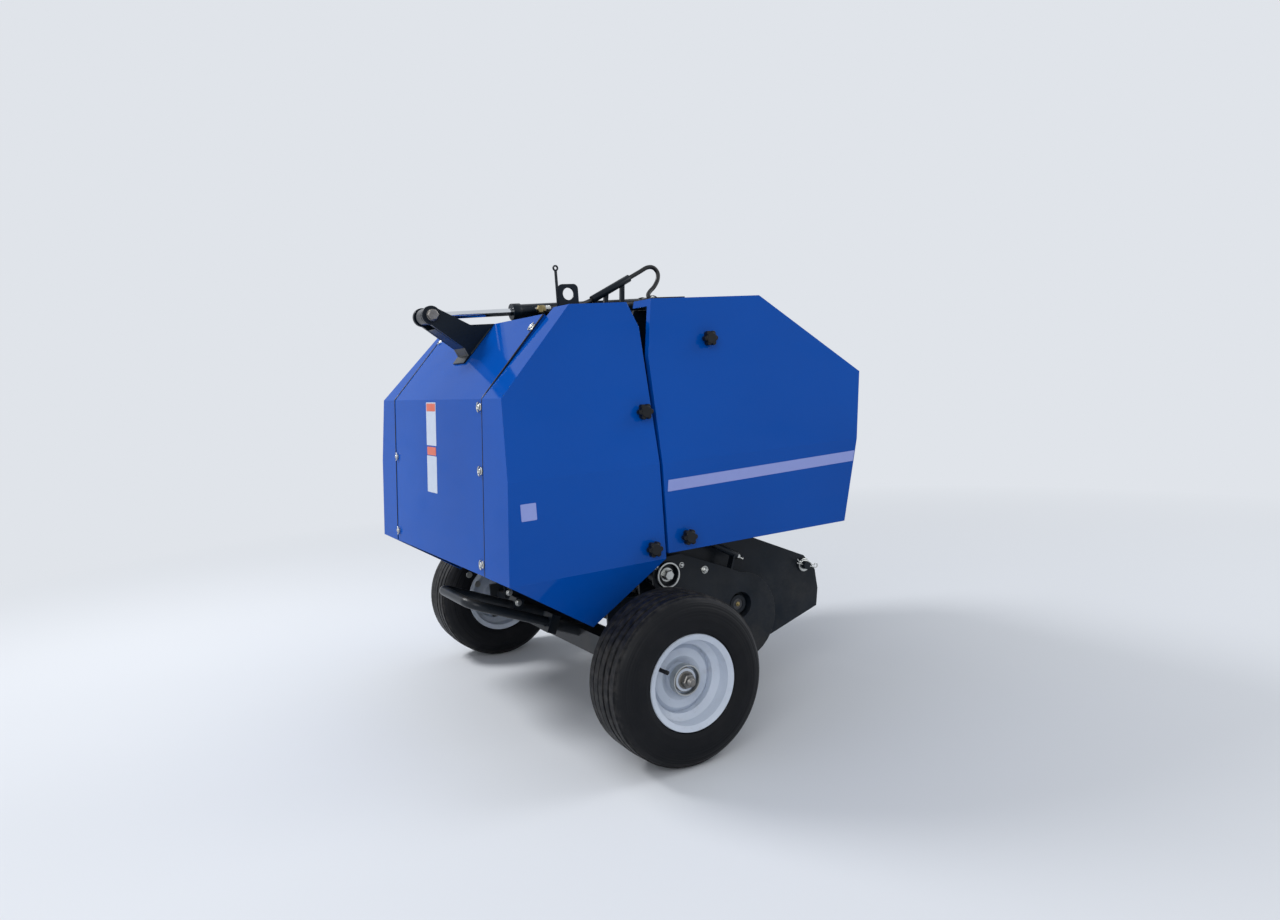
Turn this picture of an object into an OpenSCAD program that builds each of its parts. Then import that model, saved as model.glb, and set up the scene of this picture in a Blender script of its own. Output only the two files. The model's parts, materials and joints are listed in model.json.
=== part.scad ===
// Mounted mini round baler with a roller chamber, in millimetres.
// +X points forward to the tractor, +Y to the left, +Z up.
// Side outlines are pairs of x, z. Their x starts at the split between tailgate and front half.

/* [Chamber] */
// Diameter of the finished bale
bale_d = 500; // [496:1:504]
// Clear width between the side plates
chamber_w = 704; // [640:8:760]
// Height of the chamber's centre above the ground
chamber_z = 735; // [732:1:738]
// Distance from the chamber's centre forward to the split
chamber_back = 20; // [16:1:24]
// Diameter of a roller over its ribs
roller_d = 104; // [96:2:106]
// Height of a roller's ribs
rib_h = 6; // [3:1:10]
// Ribs on each roller
rib_n = 8; // [6:1:10]
// Wall of a roller's tube
roller_wall = 5; // [4:0.5:8]
// Diameter of a roller's shaft
shaft_d = 30; // [24:1:34]

/* [Covers] */
// Depth of the side covers, outwards from their seams
cover_depth = 152; // [140:1:160]
// Distance from the split back to the tailgate's lower edge
rear_len = 416; // [412:1:424]
// Distance from the split forward to the covers' nose
front_len = 679; // [674:1:690]
// Height of the fold along the covers
fold_z = 705; // [690:5:720]
// Inward lean of the covers above the fold, in degrees
lean = 9.4; // [6:0.2:11]
// Height of the covers' top edge above the tailgate's hinge
top_rise = 65; // [62:1:69]
// Height of the covers' lower fold and bottom edge
low_z = 472; // [466:1:478]
// Lowest corner of the rear covers
keel_z = 330; // [320:2:344]
// Thickness of cover sheet
sheet = 2; // [1.5:0.1:3]
// Width of the lip along the covers' open edges
lip = 18; // [12:1:22]
// Gap at the split between front and rear covers
split_gap = 8; // [8:1:12]
// Diameter of a star knob
knob_d = 40; // [34:1:44]

/* [Frame] */
// Thickness of the chamber's side plates
plate_t = 8; // [6:1:10]
// Thickness of the tailgate's side plates
gate_t = 6; // [5:1:7]
// Height of the lower hitch pins
hitch_z = 343; // [338:1:348]
// Height of the top link pin above the lower hitch pins
mast_h = 460; // [450:5:470]
// Diameter of the lower hitch pins
hitch_pin_d = 22; // [20:1:25]
// Free length of a lower hitch pin
hitch_pin_len = 60; // [56:1:66]
// Diameter of the top link pin's holes
top_pin_d = 19.5; // [19:0.5:25.5]
// Clear gap between the mast's plates
mast_gap = 52; // [46:1:58]
// Side of the front beam's square tube
beam_s = 70; // [60:2:76]

/* [Wheels] */
// Outer diameter of a tyre
tyre_d = 410; // [400:2:416]
// Width of a tyre
tyre_w = 165; // [156:1:168]
// Diameter of a rim over its flanges
rim_d = 231; // [228:1:234]
// Distance between the wheels' centre planes
track_w = 1188; // [1180:2:1220]
// Distance from the split back to the axle
axle_back = 43; // [38:1:48]
// Side of the square axle beam
axle_s = 60; // [54:2:60]
// Diameter of a stub axle
stub_d = 30; // [25:1:34]

/* [Pick-up] */
// Radius to the tips of the tines
tine_r = 168; // [162:1:172]
// Radius of the stripper bands' front
band_r = 118; // [116:1:122]
// Number of stripper bands
band_n = 11; // [9:1:11]
// Gap between neighbouring bands
band_gap = 20; // [18:1:26]
// Number of tine bars on the reel
bar_n = 4; // [3:1:5]
// Thickness of a tine
tine_t = 5; // [4:0.5:6]
// Thickness of the pick-up's side plates
pick_t = 5; // [4:0.5:6]

/* [Cylinder] */
// Outer diameter of the cylinder's barrel
barrel_d = 40; // [36:1:42]
// Diameter of the rod
rod_d = 20; // [18:1:22]
// Diameter of the cylinder's pins
pin_d = 20; // [18:1:22]
// Diameter of the hydraulic hose
hose_d = 13; // [11:0.5:14]
// Opening angle of the tailgate, in degrees
gate_open = 50; // [40:1:50]

/* [Bale bar] */
// Diameter of the bale bar's tube
bar_d = 27; // [24:1:30]
// Half width between the bale bar's legs
bar_half = 126; // [116:2:140]

/* [Stand and drive] */
// Side of the stand leg's square tube
leg_s = 40; // [35:1:44]
// Travel of the stand leg
leg_up = 230; // [184:46:276]
// Diameter of the drive stub
pto_d = 35; // [30:0.5:38]

/* [Hidden] */
$fn = 64;

// Clearances: round a turning shaft, beside a moving piece, and over a seat
turn_gap = 0.05;
move_gap = 5;
seat_gap = 0.3;

blue = "royalblue";
dark = "#20262b";
steel = "silver";

// Chamber: the rollers stand on a circle round the bale
roller_r = roller_d / 2;
pitch_r = bale_d / 2 + roller_r;
chamber = [-chamber_back, chamber_z];
// Angles of the rollers on the circle, from straight ahead
front_angles = [84, 53, 22, -9, -37];
gate_angles = [114, 143.5, 173, 202.5, 232, 261.5];
roller_angles = concat(front_angles, gate_angles);
function roller_at(a) = chamber + pitch_r * [cos(a), sin(a)];
pivot = roller_at(front_angles[0]);

plate_in = chamber_w / 2;
plate_out = plate_in + plate_t;
gate_in = plate_in + 1;
gate_out = gate_in + gate_t;
roller_half = plate_in - move_gap;
bearing_t = 12;
bearing_flange = 5;
bearing_d = 76;
bearing_boss = 54;
hinge_d = 48;
hinge_r = 44;
hinge_t = 8;
shaft_half = plate_out + bearing_t - 2;

// Axle and wheels
axle = [-axle_back, tyre_d / 2];
wheel_y = track_w / 2;
stub_len = 52;

// Side covers
top_z = round(pivot.y + top_rise);
seam_half = plate_out + 8;
cover_half = seam_half + cover_depth;
gap_half = split_gap / 2;
fold_step = 12;
rear_low = [-rear_len, low_z];
rear_keel = [-196, keel_z];
rear_high = [30 - rear_len, 893];
rear_top = [-183, top_z];
notch_rear = [-28, top_z];
notch_front = [42, top_z + 7];
front_low = [571, low_z + fold_step];
front_nose = [front_len, 887];
front_top = [375, top_z + 7];
hood_flat = 40;
rear_outline = [rear_low, rear_keel, [-gap_half, low_z], [-gap_half, pivot.y + 3], notch_rear, rear_top,
    rear_high];
front_outline = [[gap_half, low_z + fold_step], front_low, front_nose, front_top, notch_front, [10, 966],
    [gap_half, fold_z]];

// The whole part stands centred over the origin
x_shift = (rear_len - front_len) / 2;

// Pick-up
reel = [278, 285];
cup_d = 70;
cup_depth = 26;
cup_wall = 4;
pick_y = plate_out + 55;
drive = [55, 406];
drive_d = 67;
shaft_reel_d = 30;
reel_half = plate_in - 47;
bars_r = 82;
tine_bar_d = 24;
coil_d = 36;

// Hitch, gearbox and mast
hitch = [546, hitch_z];
mast_top = [620, hitch_z + mast_h];
mast_t = 12;
beam = [440, 600];
beam_front = beam.x + beam_s / 2;
gear_z = 500;
gear_x = 520;
gear_s = 120;
mount_t = 10;
mount_w = 150;
gear_back = beam_front + mount_t;
seal_d = 44;
cross_bearing_d = 64;
gear_boss = 25;
coupling_d = 50;
pto_end = front_len - 2;

// Cylinder
rod_pin = [-382, top_z + 14];
base_pin = [300, top_z + 25];
cyl_tilt = atan2(base_pin.y - rod_pin.y, base_pin.x - rod_pin.x);
barrel_len = 440;
eye_d = 44;
arm_in = 32;
arm_t = 12;
arm_out = arm_in + arm_t;
// The pin rides in a slot of the tailgate's arm, which grows with the opening angle
slot_len = 0.292 * gate_open;
slot_tilt = 18.9;
slot_gap = 1.5;
slot_deep = 6;
base_in = 25;
base_t = 10;
base_out = base_in + base_t;

// Top of the frame
top_sheet_z = top_z - 15;
rail_x = 72;
rail_w = 78;
rail_h = 45;
rail_t = 4;
foot_w = 50;

// Stand
leg = [beam_front + 6 + leg_s / 2, 170];
sleeve_z = [430, 630];
leg_top = 606;
pin_pitch = 46;

// Unit normal on the left of a step from a to b
function left_normal(a, b) = [a.y - b.y, b.x - a.x] / norm(b - a);

// Corner b of a path, moved to the left by d
function moved_corner(a, b, c, d) =
    let (n1 = left_normal(a, b), n2 = left_normal(b, c)) b + d * (n1 + n2) / (1 + n1 * n2);

// Closed outline, counterclockwise, with each edge moved inwards by its own distance
function cross2(a, b) = a.x * b.y - a.y * b.x;
function line_meet(p, u, q, v) = p + u * cross2(q - p, v) / cross2(u, v);
function inset_each(p, d) = [for (i = [0 : len(p) - 1])
    let (a = p[(i + len(p) - 1) % len(p)], b = p[i], c = p[(i + 1) % len(p)],
        d1 = d[(i + len(p) - 1) % len(p)], d2 = d[i])
    line_meet(b + d1 * left_normal(a, b), b - a, b + d2 * left_normal(b, c), c - b)];
function inset(p, d) = inset_each(p, [for (i = p) d]);

// Open path made into a strip of thickness t on its left
function strip(p, t) = concat(p, [for (i = [len(p) - 1 : -1 : 0])
    i == 0 ? p[0] + t * left_normal(p[0], p[1])
    : i == len(p) - 1 ? p[i] + t * left_normal(p[i - 1], p[i])
    : moved_corner(p[i - 1], p[i], p[i + 1], t)]);

function arc(c, r, a0, a1, n) =
    [for (i = [0 : n]) let (a = a0 + (a1 - a0) * i / n) c + r * [cos(a), sin(a)]];

// Point at x on the line from a to b
function on_line(a, b, x) = [x, a.y + (x - a.x) * (b.y - a.y) / (b.x - a.x)];

// An x, z drawing with its thickness from y0 to y1
module slab(y0, y1) {
    translate([0, y1, 0]) rotate([90, 0, 0]) linear_extrude(y1 - y0) children();
}

module disc_at(p, r) {
    translate(p) circle(r);
}

// A round bar along y
module bar_y(p, d, y0, y1) {
    translate([p.x, y1, p.y]) rotate([90, 0, 0]) cylinder(d = d, h = y1 - y0);
}

// A cylinder's own frame: its pin at the origin, its axis along x
module at_pin(p, tilt) {
    translate([p.x, 0, p.y]) rotate([0, tilt, 0]) children();
}

// The same piece on the right-hand side
module on_right() {
    mirror([0, 1, 0]) children();
}

module on_both() {
    children();
    on_right() children();
}

module placed() {
    translate([x_shift, 0, 0]) children();
}

// Section across the covers, in y and z, moved inwards by d
keel_in = 40;
section_end = 60;
tan_keel = keel_in / (low_z - keel_z);
section_low = keel_z - section_end;
section_high = top_z + section_end;
function cover_section(d) = inset([[0, section_low], [cover_half - keel_in - section_end * tan_keel, section_low],
    [cover_half, low_z], [cover_half, fold_z], [cover_half - (section_high - fold_z) * tan(lean), section_high],
    [0, section_high]], d);

module inside_covers(d) {
    translate([-rear_len - 10, 0, 0]) rotate([90, 0, 90])
        linear_extrude(rear_len + front_len + 20) polygon(cover_section(d));
}

module cover_space(outline, d) {
    intersection() {
        slab(seam_half - d, cover_half + 1) polygon(outline);
        inside_covers(d);
    }
}

// Pan of folded sheet; edges marked 1 in open keep only a lip
module cover_pan(outline, open) {
    difference() {
        cover_space(outline, 0);
        cover_space(inset(outline, sheet), sheet);
        cover_space(inset_each(outline, [for (o = open) o == 1 ? -5 : lip]), lip);
    }
}

// Half width of the covers at height z
function face_y(z) = cover_half - max(0, z - fold_z) * tan(lean);

front_knob_places = [[188, 1001], [57, 518]];
rear_knob_places = [[-32, 834], [-44, 503]];
post_d = 24;

// Post from a side plate out to the inside of a cover
module cover_post(p, y0) {
    intersection() {
        bar_y(p, post_d, y0, cover_half);
        inside_covers(sheet + seat_gap);
    }
}

// Flanged bearing housing on the outside of a plate
module bearing(p, y0) {
    bar_y(p, bearing_d, y0, y0 + bearing_flange);
    bar_y(p, bearing_boss, y0, y0 + bearing_t);
}

// Underside of the slanted hood at x, and the edge that the hood rests on
hood_slope = (front_nose.y - front_top.y) / (front_nose.x - front_top.x);
hood_drop = (sheet + seat_gap) * norm([1, hood_slope]);
function under_hood(x) = front_top.y + min(0, (x - front_top.x) * hood_slope) - hood_drop;
hood_back = front_top.x - hood_flat;

box_back = 345;
box_front = 468;
box_low = 700;
plate_front = box_front + 12;
flange_w = 40;
pin_boss = 12;
hitch_toe = [hitch + [-128, -180], hitch + [43, -128]];
plate_outline = concat([[-95, axle.y + axle_s / 2], [20, axle.y + axle_s / 2], [60, 150]], hitch_toe,
    [hitch + [51, -78], hitch + [44, -20], hitch + [6, 26], [384, 444], [345, 462],
    [gear_x + 55, gear_z - 45], [gear_x + 70, gear_z - 30], [gear_x + 70, beam.y - 40],
    [plate_front, box_low], [plate_front, under_hood(plate_front)], [front_top.x, under_hood(front_top.x)],
    [hood_back, under_hood(front_top.x)], [base_pin.x + 25, top_sheet_z], [45, top_sheet_z],
    [20, pivot.y - 35], [gap_half, pivot.y - 45], [gap_half, 352], [-95, 352]]);

module side_plate(driven) {
    cross = [gear_x, gear_z];
    color(dark) {
        difference() {
            union() {
                slab(plate_in, plate_out) {
                    polygon(plate_outline);
                    disc_at(pivot, 40);
                }
                slab(plate_in - flange_w, plate_in + 1) polygon(strip(hitch_toe, plate_t));
                bar_y(pivot, hinge_d, plate_out, plate_out + bearing_t);
                for (i = [1 : len(front_angles) - 1]) bearing(roller_at(front_angles[i]), plate_out);
                for (p = front_knob_places) cover_post(p, plate_out);
                bar_y(drive, drive_d, plate_out, pick_y);
                bar_y(hitch, hitch_pin_d + 18, plate_in - pin_boss, plate_out + 6);
                if (driven) bearing(cross, plate_out);
            }
            for (a = front_angles)
                bar_y(roller_at(a), shaft_d + 2 * turn_gap, plate_in - 1, plate_out + bearing_t + 1);
            bar_y(reel, shaft_reel_d + 20, plate_in - 1, plate_out + 1);
            if (driven) bar_y(cross, shaft_d + 2 * turn_gap, plate_in - 1, plate_out + bearing_t + 1);
        }
        bar_y(hitch, hitch_pin_d, plate_in - pin_boss - hitch_pin_len, plate_out + 22);
    }
}
module side_plate_left() { side_plate(false); }
module side_plate_right() { on_right() side_plate(true); }

tube_wall = 5;

module front_beam() {
    color(dark) difference() {
        translate([beam.x - beam_s / 2, -plate_in, beam.y - beam_s / 2]) cube([beam_s, chamber_w, beam_s]);
        translate([beam.x - beam_s / 2 + tube_wall, -plate_in - 1, beam.y - beam_s / 2 + tube_wall])
            cube([beam_s - 2 * tube_wall, chamber_w + 2, beam_s - 2 * tube_wall]);
    }
    color(dark) translate([beam_front, -mount_w / 2, gear_z - gear_s / 2 - 10])
        cube([mount_t, mount_w, gear_s + 70]);
}

// Sockets and legs of the bale bar lean back and up from the axle beam
bar_foot = [axle.x - axle_s / 2, axle.y + 24];
bar_end = [-375, 355];
bar_lean = atan2(bar_end.y - bar_foot.y, bar_foot.x - bar_end.x);
bar_len = round(norm(bar_end - bar_foot));
bar_bend = 45;
socket_d = bar_d + 10;
socket_len = 100;
clamp_s = 52;
clamp_t = 26;

module along_bar(s) {
    translate([bar_foot.x, s * bar_half, bar_foot.y]) rotate([0, bar_lean - 90, 0]) children();
}

beam_half = wheel_y - 124;
end_plate = 110;

module axle_beam() {
    color(dark) {
        difference() {
            union() {
                translate([axle.x - axle_s / 2, -beam_half, axle.y - axle_s / 2])
                    cube([axle_s, 2 * beam_half, axle_s]);
                for (s = [-1, 1]) intersection() {
                    along_bar(s) translate([0, 0, -40]) cylinder(d = socket_d, h = socket_len + 40);
                    translate([axle.x - 230, -300, 0]) cube([220, 600, 500]);
                }
                for (s = [-1, 1]) along_bar(s)
                    translate([-clamp_s / 2, -clamp_s / 2, socket_len - clamp_t]) cube([clamp_s, clamp_s, clamp_t]);
                on_both() translate([axle.x - end_plate / 2, beam_half, axle.y - end_plate / 2])
                    cube([end_plate, 10, end_plate]);
            }
            translate([axle.x - axle_s / 2 + tube_wall, -beam_half + 19, axle.y - axle_s / 2 + tube_wall])
                cube([axle_s - 2 * tube_wall, 2 * beam_half - 38, axle_s - 2 * tube_wall]);
            for (s = [-1, 1]) along_bar(s) cylinder(d = bar_d + 2 * turn_gap, h = socket_len + 1);
        }
        on_both() bar_y(axle, stub_d, beam_half + 9, wheel_y + stub_len);
    }
}

// Channel across the machine, open below
module rail(x, w, h) {
    difference() {
        translate([x, -plate_in, top_sheet_z - h]) cube([w, chamber_w, h]);
        translate([x + rail_t, -plate_in - 1, top_sheet_z - h - 1]) cube([w - 2 * rail_t, chamber_w + 2, h - 1]);
    }
}

module top_beam() {
    color(dark) {
        rail(rail_x, rail_w, rail_h);
        rail(base_pin.x - foot_w / 2, foot_w, rail_h);
        translate([rail_x, -plate_in, top_sheet_z - 2]) cube([base_pin.x + foot_w / 2 - rail_x, chamber_w, 2]);
    }
}

module front_cover() {
    color(blue) cover_pan(front_outline, [1, 0, 0, 0, 1, 1, 1]);
}
module front_cover_left() { front_cover(); }
module front_cover_right() { on_right() front_cover(); }

module rear_cover() {
    color(blue) cover_pan(rear_outline, [1, 1, 1, 1, 0, 0, 0]);
}
module rear_cover_left() { rear_cover(); }
module rear_cover_right() { on_right() rear_cover(); }

hood_half = seam_half - move_gap;

// Bent hood over the twine box, hinged along its rear edge, with a turned-in front edge
module front_hood() {
    color(blue) slab(-hood_half, hood_half)
        polygon(strip([front_nose + [-14, -16], front_nose, front_top, front_top - [hood_flat, 0]], sheet));
}

module box_side(d) {
    polygon([[box_back + d, box_low + d], [box_front - d, box_low + d], [box_front - d, under_hood(box_front - d)],
        [front_top.x, under_hood(front_top.x)], [box_back + d, under_hood(front_top.x)]]);
}

// Open-topped box in two halves, one twine ball wide each
module twine_box() {
    half = plate_in - seat_gap;
    color(dark) difference() {
        slab(-half, half) box_side(0);
        for (y0 = [-half + sheet, sheet / 2]) slab(y0, y0 + half - 1.5 * sheet) {
            box_side(sheet);
            translate([0, 20]) box_side(sheet);
        }
    }
}

module hitch_mast() {
    inner = mast_gap / 2;
    color(dark) difference() {
        union() {
            on_both() slab(inner, inner + mast_t)
                polygon(concat([[gear_back, beam.y - 35], [gear_back + 60, beam.y - 35]],
                    arc(mast_top, 30, -35, 110, 8), [[gear_back, beam.y + 35]]));
            bar_y([gear_back + 50, beam.y + 76], 30, -inner - 1, inner + 1);
        }
        bar_y(mast_top, top_pin_d, -50, 50);
    }
}

// Rectangle of w by h round c with corners of radius r
function round_box(c, w, h, r) = [for (q = [0 : 3]) each
    arc(c + [(w / 2 - r) * [1, -1, -1, 1][q], (h / 2 - r) * [1, 1, -1, -1][q]], r, 90 * q, 90 * q + 90, 4)];

module gearbox() {
    half = gear_s / 2;
    rim_h = 8;
    color(dark) difference() {
        union() {
            translate([gear_back, 0, gear_z]) rotate([90, 0, 90]) {
                linear_extrude(gear_s - rim_h) polygon(round_box([0, 0], gear_s, gear_s, 20));
                cylinder(d = gear_s - 16, h = gear_s);
            }
            bar_y([gear_x, gear_z], cross_bearing_d + 2, -half - gear_boss, half + rim_h);
            translate([gear_back + half, 0, gear_z + half - 1]) cylinder(d = 26, h = 13);
        }
        translate([gear_x, 0, gear_z]) rotate([0, 90, 0]) cylinder(d = seal_d + 2 * turn_gap, h = gear_s);
        bar_y([gear_x, gear_z], shaft_d + 2 * turn_gap, -gear_s, -half + 20);
    }
}

// Bell round the drive stub
guard_path = [[26, 0], [50, 0], [62, 15], [70, 30], [70, 60]];
guard_t = 3;

module pto_guard() {
    color(dark) translate([gear_back + gear_s, 0, gear_z]) rotate([0, 90, 0]) rotate_extrude()
        polygon(strip(guard_path, guard_t));
}

module pto_stub() {
    color(steel) translate([gear_x + 5, 0, gear_z]) rotate([0, 90, 0]) {
        cylinder(d = seal_d, h = gear_back + gear_s + 4 - gear_x - 5);
        cylinder(d = pto_d, h = pto_end - gear_x - 5);
    }
}

module cross_shaft() {
    color(dark) {
        bar_y([gear_x, gear_z], shaft_d, -shaft_half, -gear_s / 2 + 19);
        bar_y([gear_x, gear_z], coupling_d, -plate_in + move_gap, -gear_s / 2 - gear_boss - move_gap);
    }
}

// Side plate of the pick-up: the reel's bearing sits in a cup, and the height adjuster's tube on its upper edge
adjuster = [[286, 417], [206, 464]];
adjuster_d = 18;
adjuster_tilt = atan2(adjuster[1].y - adjuster[0].y, adjuster[0].x - adjuster[1].x);
pickup_outline = concat([[12, 385]], arc([271, 254], 122, -145, 85, 20),
    [[242, 394], [97, 455], [40, 452], [12, 425]]);

module pickup_side() {
    shaft_hole = shaft_reel_d + 2 * turn_gap;
    ring_h = 6;
    color(dark) {
        difference() {
            union() {
                slab(pick_y, pick_y + pick_t) polygon(pickup_outline);
                bar_y(reel, cup_d + 2 * cup_wall, pick_y - cup_depth, pick_y + 1);
                bar_y(drive, drive_d, pick_y, pick_y + pick_t + ring_h);
            }
            bar_y(reel, cup_d, pick_y - cup_depth + cup_wall, pick_y + pick_t + 1);
            bar_y(reel, shaft_hole, pick_y - cup_depth - 1, pick_y);
            bar_y(drive, drive_d - 12, pick_y - 1, pick_y + pick_t + ring_h + 1);
        }
        difference() {
            bar_y(reel, shaft_reel_d + 20, pick_y - cup_depth + cup_wall - 1, pick_y - 6);
            bar_y(reel, shaft_hole, pick_y - cup_depth - 1, pick_y);
        }
        slab(pick_y - 20, pick_y + 1) polygon(strip([adjuster[0] + [-34, -44], adjuster[0] + [-16, 6]], -5));
        bar_y(adjuster[1], adjuster_d - 2, plate_out + seat_gap, pick_y - 4);
        translate([adjuster[0].x, pick_y - 11, adjuster[0].y]) rotate([0, adjuster_tilt - 90, 0])
            cylinder(d = adjuster_d, h = norm(adjuster[1] - adjuster[0]));
    }
}
module pickup_side_left() { pickup_side(); }
module pickup_side_right() { on_right() pickup_side(); }

// Bands and tines share one pitch across the pick-up
band_pitch = (2 * plate_in - 4) / band_n;
function band_y(i) = -plate_in + 2 + band_pitch * (i + 0.5);
function gap_y(i) = band_y(i) + band_pitch / 2;
band_t = 3;
band_edge = 8;
band_rear = [[8, 436], [90, 426]];
band_low = [100, 210];
band_path = concat(band_rear, arc(reel, band_r, 100, -100, 16), [band_low]);
carrier = [32, 22];
bottom_bar = [25, 20];

module pickup_bands() {
    w = (band_pitch - band_gap) / 2;
    color(dark) {
        for (i = [0 : band_n - 1]) {
            slab(band_y(i) - w, band_y(i) + w) polygon(strip(band_path, -band_t));
            for (y = [band_y(i) - w, band_y(i) + w - band_t])
                slab(y, y + band_t) polygon(strip(band_path, -band_edge));
        }
        translate([band_rear[0].x + 4, -plate_in, band_rear[0].y - band_t - carrier.y - 4])
            cube([carrier.x, 2 * plate_in, carrier.y]);
        translate([band_low.x - 15, -plate_in, band_low.y - bottom_bar.y / 2])
            cube([bottom_bar.x, 2 * plate_in, bottom_bar.y]);
    }
}

// One tine of spring wire wound round its bar: radius along x, running direction along z
coil_w = 12;
tine_bend = [tine_r - 30, coil_d / 2 - tine_t / 2];
tine_tip = (tine_r - 2) * [cos(9), sin(9)];

module tine(y) {
    difference() {
        bar_y([bars_r, 0], coil_d, y - coil_w / 2, y + coil_w / 2);
        bar_y([bars_r, 0], tine_bar_d - 1, y - coil_w, y + coil_w);
    }
    slab(y - tine_t / 2, y + tine_t / 2) polygon(strip([[bars_r, tine_bend.y], tine_bend, tine_tip], tine_t));
}

module pickup_reel() {
    disc_t = 8;
    color(steel) {
        bar_y(reel, shaft_reel_d, -pick_y + 8, pick_y - 8);
        bar_y(reel, 60, -reel_half, reel_half);
        at_pin(reel, 0) {
            for (y = [-reel_half, -disc_t / 2, reel_half - disc_t]) difference() {
                bar_y([0, 0], 2 * bars_r + 20, y, y + disc_t);
                for (b = [0 : bar_n - 1]) rotate([0, (b + 0.5) * 360 / bar_n, 0])
                    bar_y([bars_r - 22, 0], 36, y - 1, y + disc_t + 1);
            }
            for (b = [0 : bar_n - 1]) rotate([0, b * 360 / bar_n, 0]) {
                bar_y([bars_r, 0], tine_bar_d, -reel_half - 4, reel_half + 4);
                for (i = [0 : band_n - 2]) tine(gap_y(i));
                for (i = [0 : 2 : band_n - 3]) bar_y([bars_r, 1 - coil_d / 2], tine_t, gap_y(i), gap_y(i + 1));
            }
        }
    }
}

module bale_bar() {
    leg = bar_len - bar_bend;
    inner = bar_half - bar_bend;
    color(dark) translate([bar_foot.x, 0, bar_foot.y]) rotate([0, bar_lean - 90, 0]) {
        for (s = [-1, 1]) {
            translate([0, s * bar_half, 2]) cylinder(d = bar_d, h = leg - 2);
            translate([0, s * inner, leg]) rotate([0, -90, 0]) rotate([0, 0, s > 0 ? 0 : -90])
                rotate_extrude(angle = 90) translate([bar_bend, 0]) circle(d = bar_d);
        }
        translate([0, inner, bar_len]) rotate([90, 0, 0]) cylinder(d = bar_d, h = 2 * inner);
    }
}

module cylinder_base() {
    color(dark) {
        on_both() difference() {
            slab(base_in, base_in + base_t) {
                disc_at(base_pin, 25);
                translate([base_pin.x - 25, top_sheet_z]) square([50, base_pin.y - top_sheet_z]);
            }
            bar_y(base_pin, pin_d + 2 * turn_gap, 0, 50);
        }
        translate([base_pin.x - 34, -base_out - 8, top_sheet_z]) cube([56, 2 * (base_out + 8), 6]);
    }
}

// Point d past b on the line from a
function beyond(a, b, d) = b + d * (b - a) / norm(b - a);

// A round bar from a to b, both x, y, z
module bar_between(a, b, d, ahead = 0) {
    v = b - a;
    translate(a) rotate([0, acos(v.z / norm(v)), atan2(v.y, v.x)]) translate([0, 0, -ahead])
        cylinder(d = d, h = norm(v) + 2 * ahead);
}

// The hose's route as x, y, z: from the port along the barrel, through its sleeve and round to the base pin
hose_route = [[-44, -37, 1121], [-14, -38, 1122], [26, -36, 1125], [64, -28, 1131], [104, -20, 1143], [168, -20, 1173],
    [232, -20, 1203], [268, -20, 1220], [296, -21, 1233], [316, -23, 1232], [328, -26, 1217], [324, -30, 1196],
    [308, -34, 1175], [290, -38, 1161], [278, -46, 1150], [277, -55, 1142], [283, -62, 1136]];
hose_end = len(hose_route) - 1;
sleeve_ends = [hose_route[4], hose_route[6]];
sleeve_d = hose_d + 9;
swivel_y = -70;
swivel_half = 11;
port_end = beyond(hose_route[1], hose_route[0], 26);
ferrule_d = hose_d + 3;
hose_gap = 0.9;
barrel_back = 30;
gland_h = 25;

// Bracket plate between the barrel and the hose's sleeve
module sleeve_bracket(x) {
    slab(-24, -12) polygon([[x - 8, base_pin.y], [x + 4, base_pin.y], sleeve_at(x + 10), sleeve_at(x - 2)]);
}
function sleeve_at(x) = on_line([sleeve_ends[0].x, sleeve_ends[0].z], [sleeve_ends[1].x, sleeve_ends[1].z], x);

module cylinder_barrel() {
    color(dark) difference() {
        union() {
            at_pin(base_pin, -90 - cyl_tilt) {
                translate([0, 0, barrel_back]) cylinder(d = barrel_d, h = barrel_len - barrel_back);
                translate([0, 0, barrel_len - gland_h]) cylinder(d = barrel_d + 6, h = gland_h);
                cylinder(d = barrel_d - 8, h = barrel_back + 1);
            }
            bar_y(base_pin, eye_d, 1 - base_in, base_in - 1);
            for (x = [150, 205]) sleeve_bracket(x);
            bar_between(sleeve_ends[0], sleeve_ends[1], sleeve_d);
        }
        at_pin(base_pin, -90 - cyl_tilt) translate([0, 0, 2 * barrel_back])
            cylinder(d = rod_d + 2 * turn_gap, h = barrel_len);
        bar_between(sleeve_ends[0], sleeve_ends[1], hose_d + 4, 1);
    }
    color(steel) {
        bar_y(base_pin, pin_d, swivel_y, base_out + 5);
        bar_y(base_pin, pin_d + 6, swivel_y - swivel_half, swivel_y + swivel_half);
        bar_between(beyond(hose_route[hose_end - 1], hose_route[hose_end], hose_gap),
            beyond(hose_route[hose_end - 1], hose_route[hose_end], 18), ferrule_d);
        bar_y([port_end.x, port_end.z], 18, port_end.y - 9, 3 - barrel_d / 2);
        bar_between(beyond(hose_route[1], hose_route[0], hose_gap), port_end, ferrule_d);
    }
}

module cylinder_rod() {
    color(steel) {
        at_pin(rod_pin, 90 - cyl_tilt) {
            cylinder(d = rod_d, h = barrel_len);
            cylinder(d = rod_d + 10, h = 34);
        }
        bar_y(rod_pin, eye_d, 12 - arm_in, arm_in - 12);
        bar_y(rod_pin, pin_d, slot_gap - arm_in - slot_deep, arm_in + slot_deep - slot_gap);
    }
}

// Circle of n points round c, square to the unit vector t
function ring(c, t, r, n) = let (u = cross(t, [0, 1, 0]) / norm(cross(t, [0, 1, 0])), v = cross(t, u))
    [for (k = [0 : n - 1]) c + r * (cos(360 * k / n) * u + sin(360 * k / n) * v)];

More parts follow.
